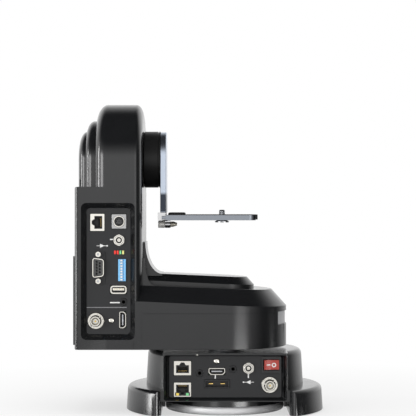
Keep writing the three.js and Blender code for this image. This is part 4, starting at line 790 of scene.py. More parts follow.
# %% [markdown]
# ## The tower
# Seen from its side, the tower is an arch: a half ellipse on upright sides. A circle gives the ellipse, its
# lower half is deleted, and the two ends are drawn down. The rounded edges, which are flatter one way than
# the other, are a row of small insets, each with its own depth, whose steps follow a quarter ellipse.

# %% Arch and rounded steps
tilt_height, crown, seam = 239.7, 52.7, -109.5


def arch(name, x, drawn_in):
    bpy.ops.mesh.primitive_circle_add(vertices=144, radius=1, fill_type="NOTHING", rotation=TURNS["X"])
    outline = fresh(name)
    edit(outline)
    choose_all()
    resize(1, (arm_half - drawn_in) * MM, (crown - drawn_in) * MM)
    choose("VERT", lambda at, vert: at.z < -0.01)
    bpy.ops.mesh.delete(type="VERT")
    choose("VERT", lambda at, vert: at.z < 0.01)
    extrude(z=-tilt_height)
    choose_all()
    bpy.ops.mesh.edge_face_add()
    move(x=x, z=tilt_height)
    return outline


def raise_along_x(step):
    """Extrudes the flat outline along X and leaves its far face chosen."""
    extrude(x=step)
    outwards()
    choose("FACE", lambda at, face: face.normal.x * math.copysign(1, step) > 0.99)


def quarter_curve(steps):
    """How far a quarter circle has gone along and inwards, as shares, after each step."""
    angles = [step * math.pi / 2 / steps for step in range(1, steps + 1)]
    return [(math.sin(angle), 1 - math.cos(angle)) for angle in angles]


def rounded_step(radial, axial):
    last_in, last_along = 0.0, 0.0
    for along_share, inward_share in quarter_curve(8):
        along, inward = axial * along_share, radial * inward_share
        inset(inward - last_in, along - last_along)
        last_in, last_along = inward, along


def finish_arch(outline, bottom):
    choose_all()
    floor = Vector((0, 0, bottom)) * MM
    bpy.ops.mesh.bisect(plane_co=floor, plane_no=(0, 0, 1), use_fill=True, clear_inner=True)
    outwards()
    done()
    return outline


# %% [markdown]
# The tower is two shells that meet at a seam. The inner one has a single rounded face, through which the tilt
# shaft comes. The end of the arm's own form fills its rounded edge where the arm joins it.

# %% Forms of the inner shell
inner_round, inner_rise = 14, 7


def inner_form(name, drawn_in, start):
    form = arch(name, start, drawn_in)
    raise_along_x(tower_face - drawn_in - inner_rise - start)
    rounded_step(inner_round, inner_rise)
    return finish_arch(form, arm_bottom + drawn_in)


def arm_root():
    """The end of the arm's own form, a plain block with its two chamfers."""
    root = box("root", (-86, -arm_half, arm_bottom), (tower_face, arm_half, deck_at_tower))
    return round_edges(root, "X", chamfer, 1, lambda at: at.z > arm_seam)


tower_pocket = (-134, -83.9, 70.6, 197.7)
tower_opening = (-129.4, -88.4, 75.2, 193.1)
tower_panel_face, cheek_depth, back_bottom, back_top = 54, 5.3, 68.4, 199.9


def tower_recess():
    return recess("pocket", tower_pocket, tower_opening, arm_half, cheek_depth, 20, 5)


def thick_back(x0, x1):
    """The metal round the recess, which stays solid."""
    return box("backing", (x0, -arm_half, back_bottom), (x1, panel_back - tower_panel_face, back_top))


print("the recess is", tower_opening[1] - tower_opening[0], "mm wide")

# %% [markdown]
# The hollow is the same form a wall smaller. It leaves a boss round the tilt shaft, whose bearing sits in a
# counterbore, and a passage into the arm for the cables.

# %% Inner shell
tilt_axis = (0, tilt_height)
shaft_hole, bearing_seat, boss_radius = 8.3, 16.3, 19.5
inner_wall, bearing_back, boss_back = tower_face - wall, -92, tower_face - wall - 8
inner = weld(inner_form("tower_inner_shell_fine", 0, seam), arm_root())
hollow = inner_form("hollow", wall, seam - 1)
root_room = arm_half - chamfer
weld(hollow, box("root_hollow", (seam - 1, -root_room, arm_bottom + wall), (inner_wall, root_room, 200)))
carve(hollow, thick_back(seam - 5, -81.7))
carve(hollow, rod("boss", boss_radius, boss_back, tower_face, "X", tilt_axis, 96))
carve(inner, hollow, tower_recess())
passage_low = (inner_wall - 1, -passage_half, arm_bottom + wall)
carve(inner, box("passage", passage_low, (tower_face + 1, passage_half, arm_seam)))
carve(inner, rod("bearing_seat", bearing_seat, bearing_back, inner_wall, "X", tilt_axis, 96))
carve(inner, rod("shaft_hole", shaft_hole, bearing_back, -70, "X", tilt_axis, 64))
finish(inner, paint, "yoke", "tower_inner_shell", 0.3, 30)

# %% [markdown]
# The outer shell is three arches on each other like a stepped dome, with a box for the electronics across its
# lower part. All three come from one outline: raised, rounded over, raised again.

# %% Stacked domes
outer_face, box_face = -122.0, -142.4
# For each dome: its edge's radius across, its edge's radius along X, and the straight rise after it
dome_steps = [(15.6, 10, 2.8), (10.2, 7, 0.5), (14, 7, 0)]


def stacked_domes(name, drawn_in, start):
    form = arch(name, start, drawn_in)
    raise_along_x(outer_face + drawn_in + dome_steps[0][1] - start)
    for radial, axial, straight in dome_steps:
        rounded_step(radial, axial)
        if straight:
            extrude(x=-straight)
    return finish_arch(form, arm_bottom + drawn_in)


domes = stacked_domes("tower_outer_shell_fine", 0, seam)
reach = [v.co.x / MM for v in domes.data.vertices]
print("domes from", round(min(reach), 2), "to", round(max(reach), 2))

# %% [markdown]
# The electronics box has a bulging side: its face is drawn out in small steps that follow a quarter ellipse
# and narrow as they go. A groove marks where that side cover parts from the casting.

# %% The bulging box
box_top, bulge, bulge_run, bulge_drop = 212.7, 4.6, 46, 6
groove_width, groove_depth = 1.3, 1.2


def control_box(name, drawn_in, start):
    top, half = box_top - drawn_in, arm_half - drawn_in
    form = box(name, (box_face + bulge + drawn_in, -half, arm_bottom + drawn_in), (start, half, top))
    edit(form)
    choose_side("X", -1)
    last_along, last_half, last_top = 0.0, half, top
    for along_share, inward in quarter_curve(10):
        along, new_half, new_top = bulge * along_share, half - bulge_run * inward, top - bulge_drop * inward
        extrude(x=last_along - along)
        share = (new_top - arm_bottom) / (last_top - arm_bottom)
        resize(1, new_half / last_half, share, (0, 0, arm_bottom))
        last_along, last_half, last_top = along, new_half, new_top
    outwards()
    done()
    return form


def parting_seam():
    x0, x1 = box_face + bulge, box_face + bulge + groove_width
    core_half = arm_half - groove_depth
    core = box("core", (x0 - 1, -core_half, 40), (x1 + 1, core_half, box_top - groove_depth))
    return carve(box("groove", (x0, -70, 50), (x1, 70, 220)), core)


print("the box reaches", box_face, "mm")

# %% [markdown]
# The shell is the domes and the box, hollowed by the same two forms a wall smaller. The service hatch, a
# node of the frame, lies flush in a shallow pocket of the outer side.

# %% Outer shell
hatch_half, hatch_bottom, hatch_top, hatch_depth = arm_half - 14, 64.4, 148, 1.2
outer = weld(domes, control_box("box", 0, seam))
hollow = weld(stacked_domes("hollow", wall, seam + 1), control_box("box_hollow", wall, seam + 1))
carve(hollow, thick_back(-136.2, seam + 5))
carve(outer, hollow, tower_recess(), parting_seam())
hatch_low = (box_face - 1, -hatch_half, hatch_bottom)
carve(outer, box("hatch", hatch_low, (box_face + hatch_depth, hatch_half, hatch_top)))
finish(outer, paint, "yoke", "tower_outer_shell", 0.4, 30)

# %% [markdown]
# ## The tilting head
# A black drum on the tilt shaft carries an L-shaped bracket: an upright plate, a corner block with two
# clamp screws, and the camera plate that the screws hold. Round pieces are turned as on a lathe: a disc is
# drawn out along its axis step by step, and each new end is brought to its own radius.

# %% Lathe and drum
def lathe(name, steps, axis="Z", centre=(0, 0), sides=96):
    """Turns a solid from (place along the axis, radius) steps."""
    start, radius = steps[0]
    bpy.ops.mesh.primitive_circle_add(
        vertices=sides,
        radius=radius * MM,
        fill_type="NGON",
        location=Vector(on_line(start, axis, centre)) * MM,
        rotation=TURNS[axis],
    )
    piece = fresh(name)
    edit(piece)
    choose_all()
    for at, new_radius in steps[1:]:
        extrude(**{axis.lower(): at - start})
        share = new_radius / radius
        resize(*on_line(1, axis, (share, share)), on_line(at, axis, centre))
        start, radius = at, new_radius
    outwards()
    done()
    return piece


drum_steps = [(-77.3, 26.4), (-76.7, 27), (-64.2, 27), (-64, 26.8), (-64, 26.2), (-63, 26.2), (-63, 26.8)]
drum_steps += [(-62.8, 27), (-62.1, 27), (-61.5, 26.4)]
drum = lathe("tilt_drum_fine", drum_steps, "X", tilt_axis, 144)
carve(drum, rod("bore", shaft_hole, -80, -60, "X", tilt_axis, 64))
finish(drum, drum_black, "tilt_head", "tilt_drum", 0.0, 25)

# %% [markdown]
# The upright has two round upper corners. The corner block below it holds the plate's tongue, and hangs two
# round bosses under it for the clamp screws.

# %% Upright and corner block
upright_left, upright_right, upright_foot, upright_top = -61.5, -56.1, 188.7, 266
upright_half, corner_round = 25, 21.9
clamp_height, clamp_spacing = 177.35, 13
upright_low = (upright_left, -upright_half, upright_foot)
upright = box("bracket_upright_fine", upright_low, (upright_right, upright_half, upright_top))
round_edges(upright, "X", corner_round, 16, lambda at: at.z > upright_top - 1)
finish(upright, upright_metal, "tilt_head", "bracket_upright", 0.5)

block_left, block_right, block_foot = -63.8, -56.4, 181.1
lip_left, lip_end, lip_foot, lip_head = -57, -52.3, 179.6, 181.2
boss_round, clamp_bore, groove_foot, groove_head = 3.4, 2.1, 182.35, 185.35
corner_low = (block_left, -upright_half, block_foot)
corner = box("bracket_corner_block_fine", corner_low, (block_right, upright_half, upright_foot))
weld(corner, box("lip", (lip_left, -upright_half, lip_foot), (lip_end, upright_half, lip_head)))
screw_axes = [(-clamp_spacing, clamp_height), (clamp_spacing, clamp_height)]
for axis_at in screw_axes:
    weld(corner, rod("boss", boss_round, lip_left, lip_end, "X", axis_at, 48))
carve(corner, box("groove", (-60, -30, groove_foot), (-50, 30, groove_head)))
for axis_at in screw_axes:
    carve(corner, rod("bore", clamp_bore, -58, -50, "X", axis_at, 32))
finish(corner, block_metal, "tilt_head", "bracket_corner_block", 0.35)

# %% [markdown]
# Each clamp screw has a grooved thumb head and a threaded end that presses the plate's tongue. A short dull
# brass tip closes it. One table of steps gives both screws.

# %% Clamp screws
clamp_steps = [(-63.8, 2.9), (-63.3, 3.4), (-62.4, 3.4), (-62.2, 3.1), (-61.9, 3.1), (-61.7, 3.4)]
clamp_steps += [(-57.8, 3.4), (-57.3, 2.9), (-57.3, 1.8), (-51.9, 1.8), (-51.9, 1.2)]
tip_steps = [(-52, 2.2), (-51.7, 2.5), (-49.3, 2.5), (-49, 2.2), (-48.8, 2.2), (-46.2, 1.3)]
for node, axis_at in zip(("clamp_screw_rear", "clamp_screw_front"), screw_axes):
    screw = lathe(node + "_fine", clamp_steps, "X", axis_at, 48)
    finish(screw, clamp_metal, node, node, 0.0, 30)
    tip = lathe(node + "_fine_tip", tip_steps, "X", axis_at, 48)
    finish(tip, tip_metal, node, None, 0.0, 30)

# %% [markdown]
# The camera plate is milled flat bar with round corners at its free end and a long slot for the screw.

# %% Camera plate
plate_left, plate_right, plate_half, plate_bottom, plate_top = -56.1, 29.2, 36, 181.4, 186.3
slot_left, slot_right, slot_half = -28, 24, 3.3
end_corner = 7


def plate_form(name, left, right, low, high, corner_radius):
    """A flat bar as wide as the plate, with the two corners of its free end rounded."""
    bar = box(name, (left, -plate_half, low), (right, plate_half, high))
    return round_edges(bar, "Z", corner_radius, 12, lambda at: at.x > right - 0.1)


def slot_cutter(clearance):
    half = slot_half + clearance
    low = (slot_left - clearance, -half, plate_bottom - 2)
    return round_edges(box("slot", low, (slot_right + clearance, half, 190)), "Z", half - 0.02, 10)


tongue_left, tongue_bottom, tongue_top = -59.7, 182.65, 185.05
plate = plate_form("camera_plate_fine", plate_left, plate_right, plate_bottom, plate_top, end_corner)
tongue_low = (tongue_left, -plate_half, tongue_bottom)
weld(plate, box("tongue", tongue_low, (plate_left + 1, plate_half, tongue_top)))
carve(plate, slot_cutter(0))
finish(plate, plate_metal, "sliding_plate", "camera_plate", 0.35)

# %% [markdown]
# The rubber on the plate is a thin mat with a low crown near the upright and a lip over the free end. It is
# cut from one block by the plate's own form, so that it lies close on the metal.

# %% Mat
mat_left, mat_top, lip_right, lip_bottom = -54, 186.8, 31, 182.1
crown_right, crown_half, crown_top = -38, 24, 188.8
below_lip = lip_bottom - 5
lip_corner = end_corner + lip_right - plate_right
mat = plate_form("plate_pad_fine", mat_left, lip_right, lip_bottom, mat_top, lip_corner)
room = plate_form("plate_room", -70, plate_right, below_lip, plate_top, end_corner)
carve(mat, room, box("side_room", (-70, -50, below_lip), (plate_right - 1, 50, plate_top)))
crown_pad = box("crown", (mat_left, -crown_half, plate_top), (crown_right, crown_half, crown_top))
round_edges(crown_pad, "Y", 1.9, 6, lambda at: at.z > crown_top - 0.8, 0.6)
round_edges(crown_pad, "Z", 3, 6)
weld(mat, crown_pad)
carve(mat, slot_cutter(0.3))
finish(mat, rubber, "sliding_plate", "plate_pad", 0.2)

# %% [markdown]
# The camera screw has a flat thumb head, slotted twice for a coin or a key, over a thin washer. Its thread is
# a row of fine ridges.

# %% Camera screw
screw_axis = (-2.6, 0)
screw_steps = [(179.1, 6.3), (179.4, 6.8), (180.3, 6.8), (180.6, 6.4), (180.6, 3)]
thread_at, thread_top, thread_pitch = 183.0, 190.4, 1.06
while thread_at < thread_top:
    screw_steps += [(thread_at, 3), (thread_at + 0.25, 2.6), (thread_at + 0.55, 2.6), (thread_at + 0.8, 3)]
    thread_at += thread_pitch
screw_steps += [(190.9, 2.7), (191.3, 2.3)]
screw = lathe("camera_screw_fine", screw_steps, "Z", screw_axis, 48)
slot_from_axis, slot_width_half = 2.7, 0.9
for side in (-1, 1):
    slot_x = screw_axis[0] + side * slot_from_axis
    carve(screw, box("slot", (slot_x - slot_width_half, -8, 178), (slot_x + slot_width_half, 8, 180)))
finish(screw, steel, "camera_screw", "camera_screw", 0.0, 30)
washer_steps = [(180.6, 5.3), (180.8, 5.6), (181.2, 5.6), (181.38, 5.3)]
washer = lathe("camera_screw_washer_fine", washer_steps, "Z", screw_axis, 64)
carve(washer, rod("bore", 3.3, 180, 182, centre=screw_axis, sides=48))
finish(washer, black_plastic, "screw_washer", "camera_screw_washer", 0.0, 30)

# %% [markdown]
# ## Sockets
# Every socket is built about its own middle, with the panel's face at Y = 0 and the viewer towards -Y. A spot
# is its place on a panel: x, height, the panel's face, a turn and the body. The object is moved and turned
# there, and the place is then baked into its mesh.

# %% Seating a socket on its panel
quarter_turn = math.pi / 2


def on_base(x, height, turn=0.0):
    return x, height, panel_face, turn, "base"


def on_tower(x, height, turn=0.0):
    return x, height, tower_panel_face, turn, "yoke"


def place(piece, at, turn):
    piece.location = Vector(at) * MM
    piece.rotation_euler = turn
    pick(piece)
    bake()
    return piece


def fit(piece, material, spot, node=None, edge=0.0, angle=30):
    """Smooths, dresses and seats one piece of a socket. Only its first piece stands in for the node."""
    x, height, face, turn, body = spot
    if edge:
        soften(piece, edge)
    soften(piece, 0.0, angle)
    place(dress(piece, material), (x, -face, height), (0, -turn, 0))
    return keep(piece, body, node)


print("a socket can be seated")

# %% [markdown]
# Four forms make up nearly every socket: a block with rounded upright edges, a bore, a turned piece that may
# have a bore, and a hexagon nut whose corners are turned off by a cone.

# %% Forms of the sockets
def block(name, half_width, half_height, front, back, corner_radius=0.0, segments=4):
    piece = box(name, (-half_width, front, -half_height), (half_width, back, half_height))
    return round_edges(piece, "Y", corner_radius, segments) if corner_radius else piece


def bore(piece, radius, front, back, sides, centre=(0, 0)):
    return carve(piece, rod("bore", radius, front, back, "Y", centre, sides))


def tube(name, steps, sides, hole=None):
    """hole is the bore's radius, front, back and number of sides."""
    piece = lathe(name, steps, "Y", sides=sides)
    return bore(piece, *hole) if hole else piece


def hexagon(name, radius, front, back, along, inward, hole, centre=(0, 0), sides=64):
    """along and inward are how much the cone takes off the front corners."""
    nut = rod(name, radius, front, back, "Y", centre, 6)
    steps = [(back + 0.2, radius), (front + along, radius), (front, radius - inward)]
    combine(nut, lathe("cone", steps, "Y", centre, sides), "INTERSECT")
    return bore(nut, *hole, centre)


yellow_lamp = grainy("yellow lamp", (0.85, 0.62, 0.08), (0.95, 0.75, 0.16), 0.3, 0.06, 1500, 0.004)
green_lamp = grainy("green lamp", (0.16, 0.62, 0.24), (0.26, 0.74, 0.36), 0.3, 0.06, 1500, 0.004)
red_lamp = grainy("red lamp", (0.85, 0.03, 0.02), (0.95, 0.06, 0.04), 0.3, 0.06, 1500, 0.004)
plug_white = grainy("ivory insulator", (0.72, 0.7, 0.62), (0.82, 0.8, 0.72), 0.4, 0.08, 1400, 0.006)
control_metal = grainy("pressed grey plate", 0.36, 0.5, 0.34, 0.14, 700, 0.03, 1.0)
socket_grey = grainy("grey socket insert", 0.05, 0.08, 0.45, 0.1, 1400, 0.006)
pale_lamp = grainy("pale yellow lamp", (0.8, 0.76, 0.22), (0.9, 0.86, 0.34), 0.3, 0.06, 1500, 0.004)
print("made", len(bpy.data.materials), "materials so far")

# %% [markdown]
# A network socket is a plated frame with a stepped opening, black inside, with a comb of eight gilt wires
# that slope down to the back. The opening is drawn once: it cuts the frame, forms the black liner and, a
# little smaller, cuts the liner's own room.

# %% Network sockets
socket_back, room_back = 11, 9


def network_opening(name, front, back, shrink, lit):
    opening = box(name, (shrink - 6, front, shrink - 4.6), (6 - shrink, back, 2.8 - shrink))
    key = box("key", (shrink - 3.5, front, 2.2 - shrink), (3.5 - shrink, back, 5.3 - shrink))
    edit(key)
    choose_side("Z", 1)
    resize(0.42, 1, 1)
    done()
    weld(opening, key)
    if lit:
        low, high = (shrink - 6.9, front, 2.5 - shrink), (6.9 - shrink, back, 5.7 - shrink)
        weld(opening, box("lamp_room", low, high))
    return opening


wire_spacing = 1.03


def wire_comb(name):
    wires = box(name, (-3.8, 4, -3.2), (-3.4, 8.2, -2.8))
    edit(wires)
    choose_side("Y", 1)
    move(z=3)
    done()
    comb = wires.modifiers.new("comb", "ARRAY")
    comb.count = 8
    comb.use_relative_offset = False
    comb.use_constant_offset = True
    comb.constant_offset_displace = (wire_spacing * MM, 0, 0)
    bpy.ops.object.modifier_apply(modifier=comb.name)
    return wires


def network_socket(node, spot, lit=False):
    name = node + "_fine"
    casing = block(name, 7.9, 6.5, -0.5, socket_back, 0.5)
    fit(carve(casing, network_opening("opening", -1, room_back, 0, lit)), nickel, spot, node)
    liner = network_opening(name + "_liner", 0.9, room_back, 0.02, lit)
    fit(carve(liner, network_opening("cavity", 0.2, 8.4, 0.7, False)), black_plastic, spot)
    fit(wire_comb(name + "_contacts"), gold, spot)
    if lit:
        lamps = (("a", yellow_lamp, "white", 3.2), ("b", green_lamp, "green", -5.9))
        for ending, material, slot, low in lamps:
            lens = box(name + "_lamp_" + ending, (low, -0.8, 3.3), (low + 2.7, 1.5, 5.5))
            fit(round_edges(lens, "Y", 0.5), material, spot)


network_socket("base_network_socket_upper", on_base(-39.8, 44.1))
network_socket("base_network_socket_lower", on_base(-39.8, 24.1, math.pi), True)
network_socket("tower_network_socket", on_tower(-119.05, 179.6, quarter_turn))

# %% [markdown]
# The video sockets are thin bright shells round a black hole with a tongue in it. Two of the shell's corners
# are cut off, which an edge bevel with few segments does.

# %% Video sockets
def video_outline(name, front, back, shrink):
    outline = block(name, 7.65 - shrink, 3.1 - shrink, front, back)
    round_edges(outline, "Y", 2.3 - shrink * 0.4, 2, lambda at: at.z < 0, 0.35)
    return round_edges(outline, "Y", max(1.2 - shrink, 0.3), 4, lambda at: at.z > 1.5)


def video_socket(node, spot):
    name = node + "_fine"
    casing = carve(video_outline(name, -0.8, socket_back, 0), video_outline("hole", -2, room_back, 0.65))
    fit(casing, nickel, spot, node)
    liner = video_outline(name + "_liner", 0.4, room_back, 0.66)
    fit(carve(liner, video_outline("cavity", 0, 8, 0.9)), black_plastic, spot)
    fit(block(name + "_tongue", 5, 0.6, 0, 8.5), steel, spot, edge=0.15)


video_socket("base_hdmi_socket", on_base(-7.9, 41.0))
video_socket("tower_hdmi_socket", on_tower(-95.5, 88.9, quarter_turn))

# %% [markdown]
# Round sockets are turned. An audio jack is a dark bush with a black sleeve in it. A power jack is a ridged
# barrel with a hexagon nut, a black sleeve and a hollow pin.

# %% Audio and power jacks
def audio_jack(node, spot):
    name = node + "_fine"
    bush = tube(name, [(socket_back, 3.4), (-0.15, 3.4), (-0.35, 3.2)], 48, (2.4, -2, 9, 48))
    fit(bush, panel_paint, spot, node)
    sleeve = tube(name + "_sleeve", [(9.5, 2.38), (-0.3, 2.38), (-0.6, 2.15)], 48, (1.7, -2, 9, 48))
    fit(sleeve, black_plastic, spot)


def power_jack(node, spot):
    name = node + "_fine"
    steps = [(socket_back, 4.2), (-0.2, 4.2)]
    for ridge in range(6):
        at = -0.4 - ridge * 0.4
        steps += [(at, 4.2), (at - 0.12, 4.0), (at - 0.2, 4.0), (at - 0.32, 4.2)]
    fit(tube(name, steps + [(-3, 3.9)], 64, (2.9, -4, 5, 48)), nickel, spot, node)
    nut = hexagon(name + "_nut", 5.6, -2, 0, 0.5, 0.5, (4.15, -4, 5, 64))
    fit(nut, nickel, spot)
    sleeve = tube(name + "_sleeve", [(5, 2.88), (-1.2, 2.88), (-1.4, 2.7)], 48, (2.4, -4, 4.5, 48))
    fit(sleeve, black_plastic, spot)
    pin = tube(name + "_pin", [(4.7, 1.8), (-1.2, 1.8), (-1.6, 1.6)], 32, (0.95, -3, 4, 24))
    fit(pin, nickel, spot)


audio_jack("base_audio_jack_left", on_base(-23.9, 39.4))
audio_jack("base_audio_jack_right", on_base(7.1, 43.2))
audio_jack("tower_audio_jack", on_tower(-94.7, 105.6))
power_jack("base_power_socket", on_base(21.5, 44.1))
power_jack("tower_power_socket", on_tower(-98.9, 163.1))

# %% [markdown]
# The coaxial sockets have a stepped barrel with two bayonet lugs, a hexagon nut over a dark washer, and an
# ivory core round the gilt centre.

# %% Coaxial sockets
def coaxial_socket(node, spot):
    name = node + "_fine"
    steps = [(socket_back, 4.8), (0.5, 4.8), (0.5, 7.8), (-0.9, 7.8), (-1.4, 7.3), (-1.4, 4.8), (-4.2, 4.8)]
    barrel = tube(name, steps + [(-4.4, 4.5), (-5, 4.5), (-5.2, 4.8), (-8.6, 4.8), (-9, 4.5)], 96)
    for low, high in ((-5.9, -3), (3, 5.9)):
        weld(barrel, rod("lug", 1, low, high, "X", (-6.5, 0), 32))
    fit(bore(barrel, 3.6, -10, -1, 64), nickel, spot, node)
    nut = hexagon(name + "_nut", 6.9, -3.2, -1.2, 0.4, 0.4, (5.5, -6, 5, 64))
    fit(nut, nickel, spot)
    rim = [(-0.6, 4.9), (-0.6, 5.45), (-2.2, 5.45), (-2.2, 4.9)]
    fit(tube(name + "_washer", rim, 64, (4.75, -6, 5, 64)), black_plastic, spot)
    core_steps = [(-1, 3.55), (-4, 3.55), (-4, 2.4), (-6.8, 2.4), (-7, 2.2)]
    fit(tube(name + "_core", core_steps, 64, (0.9, -8, -2, 32)), plug_white, spot)
    fit(tube(name + "_pin", [(-2, 0.88), (-6.9, 0.88), (-7.2, 0.6)], 32), gold, spot)


coaxial_socket("base_bnc_socket", on_base(41.3, 28.6, math.pi / 4))
coaxial_socket("tower_bnc_socket", on_tower(-120.45, 88.0, math.pi / 4))

# %% [markdown]
# The nine-pin serial socket is a bright D-shaped shell on a dark flange, with a grey insert of nine holes
# in two rows, and black behind them.

# %% Serial socket
def d_outline(name, front, back, shrink):
    """A narrow D that stands upright, a little longer on its left side."""
    half_height = 9.25 - shrink
    outline = block(name, 5.25 - shrink, half_height, front, back)
    edit(outline)
    choose_side("X", 1)
    resize(1, 1, (half_height - 1.3) / half_height)
    done()
    return round_edges(outline, "Y", 2.4 - shrink, 6)


serial_spot = on_tower(-118.05, 137.5)
serial_shell = d_outline("tower_serial_socket_fine", -5, socket_back, 0)
carve(serial_shell, d_outline("hole", -7, room_back, 0.8))
fit(serial_shell, nickel, serial_spot, "tower_serial_socket")
fit(block("tower_serial_flange", 6.3, 15.5, -0.8, 0.2, 1.5), panel_paint, serial_spot, edge=0.2)
insert = d_outline("tower_serial_insert", -4.2, room_back, 1.35)
for x, heights in ((-1.42, (-5.54, -2.77, 0, 2.77, 5.54)), (1.42, (-4.16, -1.39, 1.39, 4.16))):
    for height in heights:
        bore(insert, 1.12, -6, 3, 20, (x, height))
fit(insert, socket_grey, serial_spot)
fit(d_outline("tower_serial_dark", 0.5, 8, 1.36), black_plastic, serial_spot)

# %% [markdown]
# Two hexagon standoffs take the plug's screws, so each has a bore with a thread in it.

# %% Standoffs of the serial socket
for name, height in (("upper", 12.5), ("lower", -12.5)):
    middle = (0, height)
    post = hexagon("tower_serial_post_" + name, 2.75, -4.6, 0, 0.4, 0.3, (1.1, -6, -1.5, 24), middle, 48)
    fit(post, nickel, serial_spot)
    thread = lathe("tower_serial_thread_" + name, [(-1, 1.08), (-3.6, 1.08)], "Y", middle, 24)
    fit(thread, steel, serial_spot)

# %% [markdown]
# The round control socket is a pressed plate with a bright collar, a black ring and a grey core with eight
# pin holes and a key slot.

# %% Round control socket
control_spot, control_bore = on_tower(-98.9, 180.5), 4.45
control_plate = bore(block("tower_control_socket_fine", 6.7, 6.7, -1, 10, 0.7), control_bore, -2, 6, 64)
fit(control_plate, control_metal, control_spot, "tower_control_socket", 0.25)
collar = tube("tower_control_collar", [(0, 5.5), (-1.6, 5.5), (-1.9, 5.2)], 64, (control_bore, -3, 1, 64))
fit(collar, nickel, control_spot)
ring = tube("tower_control_ring", [(6, 4.42), (-1.2, 4.42), (-1.5, 4.2)], 64, (3.4, -3, 5.5, 64))
fit(ring, black_plastic, control_spot)
core = tube("tower_control_core", [(6, 3.2), (-0.6, 3.2), (-0.9, 3.0)], 64)
carve(core, box("key", (-0.8, -2, -3.6), (0.8, 4, -2.6)))
control_pins = [(-1.6, 1.9), (0, 2.1), (1.6, 1.9), (-2.2, 0.2), (0, 0.2), (2.2, 0.2)]
control_pins += [(-1.1, -1.6), (1.1, -1.6)]
for pin_at in control_pins:
    bore(core, 0.55, -2, 4, 16, pin_at)
fit(core, socket_grey, control_spot)

# %% [markdown]
# The USB socket is a plated shell with a white tongue that carries four contacts. The terminal socket is a
# black box, open at its lower front, with two gilt contacts.

# %% USB and terminal sockets
usb_spot = on_tower(-99.4, 116.9)
usb_shell = block("tower_usb_socket_fine", 7.5, 3.75, -0.6, socket_back, 2.2, 2)
carve(usb_shell, block("hole", 6.4, 2.65, -2, room_back, 1.4, 2))
fit(usb_shell, nickel, usb_spot, "tower_usb_socket")
fit(box("tower_usb_tongue", (-5.4, -0.1, -0.6), (5.4, 8, 1.5)), plug_white, usb_spot, edge=0.2)
for index, x in enumerate((-3.6, -1.2, 1.2, 3.6)):
    contact = box("tower_usb_contact_" + str(index + 1), (x - 0.5, -0.15, 0.4), (x + 0.5, 6, 1.0))
    fit(contact, brass, usb_spot)
fit(block("tower_usb_rear", 6.38, 2.63, 6, 8.9, 1.3, 2), black_plastic, usb_spot)

terminal_spot = on_base(-7.9, 29.5)
terminal = block("base_terminal_socket_fine", 11.5, 3.7, -1.2, socket_back, 0.5)
mouth = box("mouth", (-10.2, -2, -5), (10.2, -0.2, 1))
carve(terminal, box("hole", (-10.5, -2, -2.7), (10.5, 5, 2.5)), mouth)
fit(terminal, black_plastic, terminal_spot, "base_terminal_socket", 0.2)
for name, x in (("left", -5.5), ("right", 5.5)):
    contact = box("base_terminal_contact_" + name, (x - 2, -0.6, -0.3), (x + 2, 4.8, 0.6))
    fit(contact, gold, terminal_spot, edge=0.2)

# %% [markdown]
# ## Switches and lamps
# The DIP switch is a blue block with eight white levers, each in its slot. A lever's place is read from its
# frame node, because each lever slides by itself. The four status lamps are coloured lenses.

# %% DIP switch with its levers
pitch = 2.54
dip_half, dip_spot = 10.15, on_tower(-96.1, 135.2)
dip = block("dip_switch_body_fine", 3.5, dip_half, -1.4, socket_back, 0.3)
for index in range(8):
    height = (index - 3.5) * pitch
    carve(dip, box("slot", (-1.8, -2, height - 0.9), (1.8, -0.1, height + 0.9)))
fit(dip, blue_plastic, dip_spot, "dip_switch_body")
for index in range(8):
    node = "dip_lever_" + str(index + 1)
    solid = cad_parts[node]
    corners = [solid.matrix_world @ Vector(corner) / MM for corner in solid.bound_box]
    low, high = [Vector(end(corner[axis] for corner in corners) for axis in range(3)) for end in (min, max)]
    middle = (low.z + high.z) / 2
    lever = box(node + "_fine", (low.x, low.y, middle - 0.75), (low.x + 2.1, high.y - 0.02, middle + 0.75))
    finish(lever, white_plastic, node, node, 0.15)

# %% Status lamps
lamp_looks = [(red_lamp, "red"), (red_lamp, "red"), (green_lamp, "green"), (pale_lamp, "white")]
for index, (material, slot) in enumerate(lamp_looks):
    lens = block("status_lamp_" + str(index + 1), 0.8, 1.7, -0.5, 4, 0.25, 3)
    lamp_spot = on_tower(-98.9 + (index - 1.5) * pitch, 151.7)
    fit(lens, material, lamp_spot, None if index else "status_lamps")

# %% [markdown]
# The power rocker is a red key in a black bezel, with its two generic marks, a bar and a ring. The key is
# drawn about its pivot. Its front is a shallow hollow cut with a large cylinder, and the same cut, a trace
# smaller, trims the printed marks, so that they follow the curved face.

# %% Power rocker
rocker_x, rocker_height, rocker_lean, rocker_pivot = 42.7, 47.2, 8, 1
hollow_radius, hollow_axis = 24.65, (0, -26.35)
bezel = block("power_switch_bezel_fine", 9.1, 7.7, -1.6, socket_back, 1)
carve(bezel, block("hole", 7.4, 5, -3, room_back))
fit(bezel, black_plastic, on_base(rocker_x, rocker_height), "power_switch_bezel", 0.35)


def fit_key(piece, shrink, material, node):
    scoop = rod("scoop", hollow_radius - shrink, -8, 8, centre=hollow_axis, sides=220)
    carve(piece, scoop)
    if node:
        soften(piece, 0.2)
    soften(piece, 0.0, 30)
    place(piece, (rocker_x, rocker_pivot - panel_face, rocker_height), (0, 0, math.radians(rocker_lean)))
    keep(dress(piece, material), "power_rocker", node)


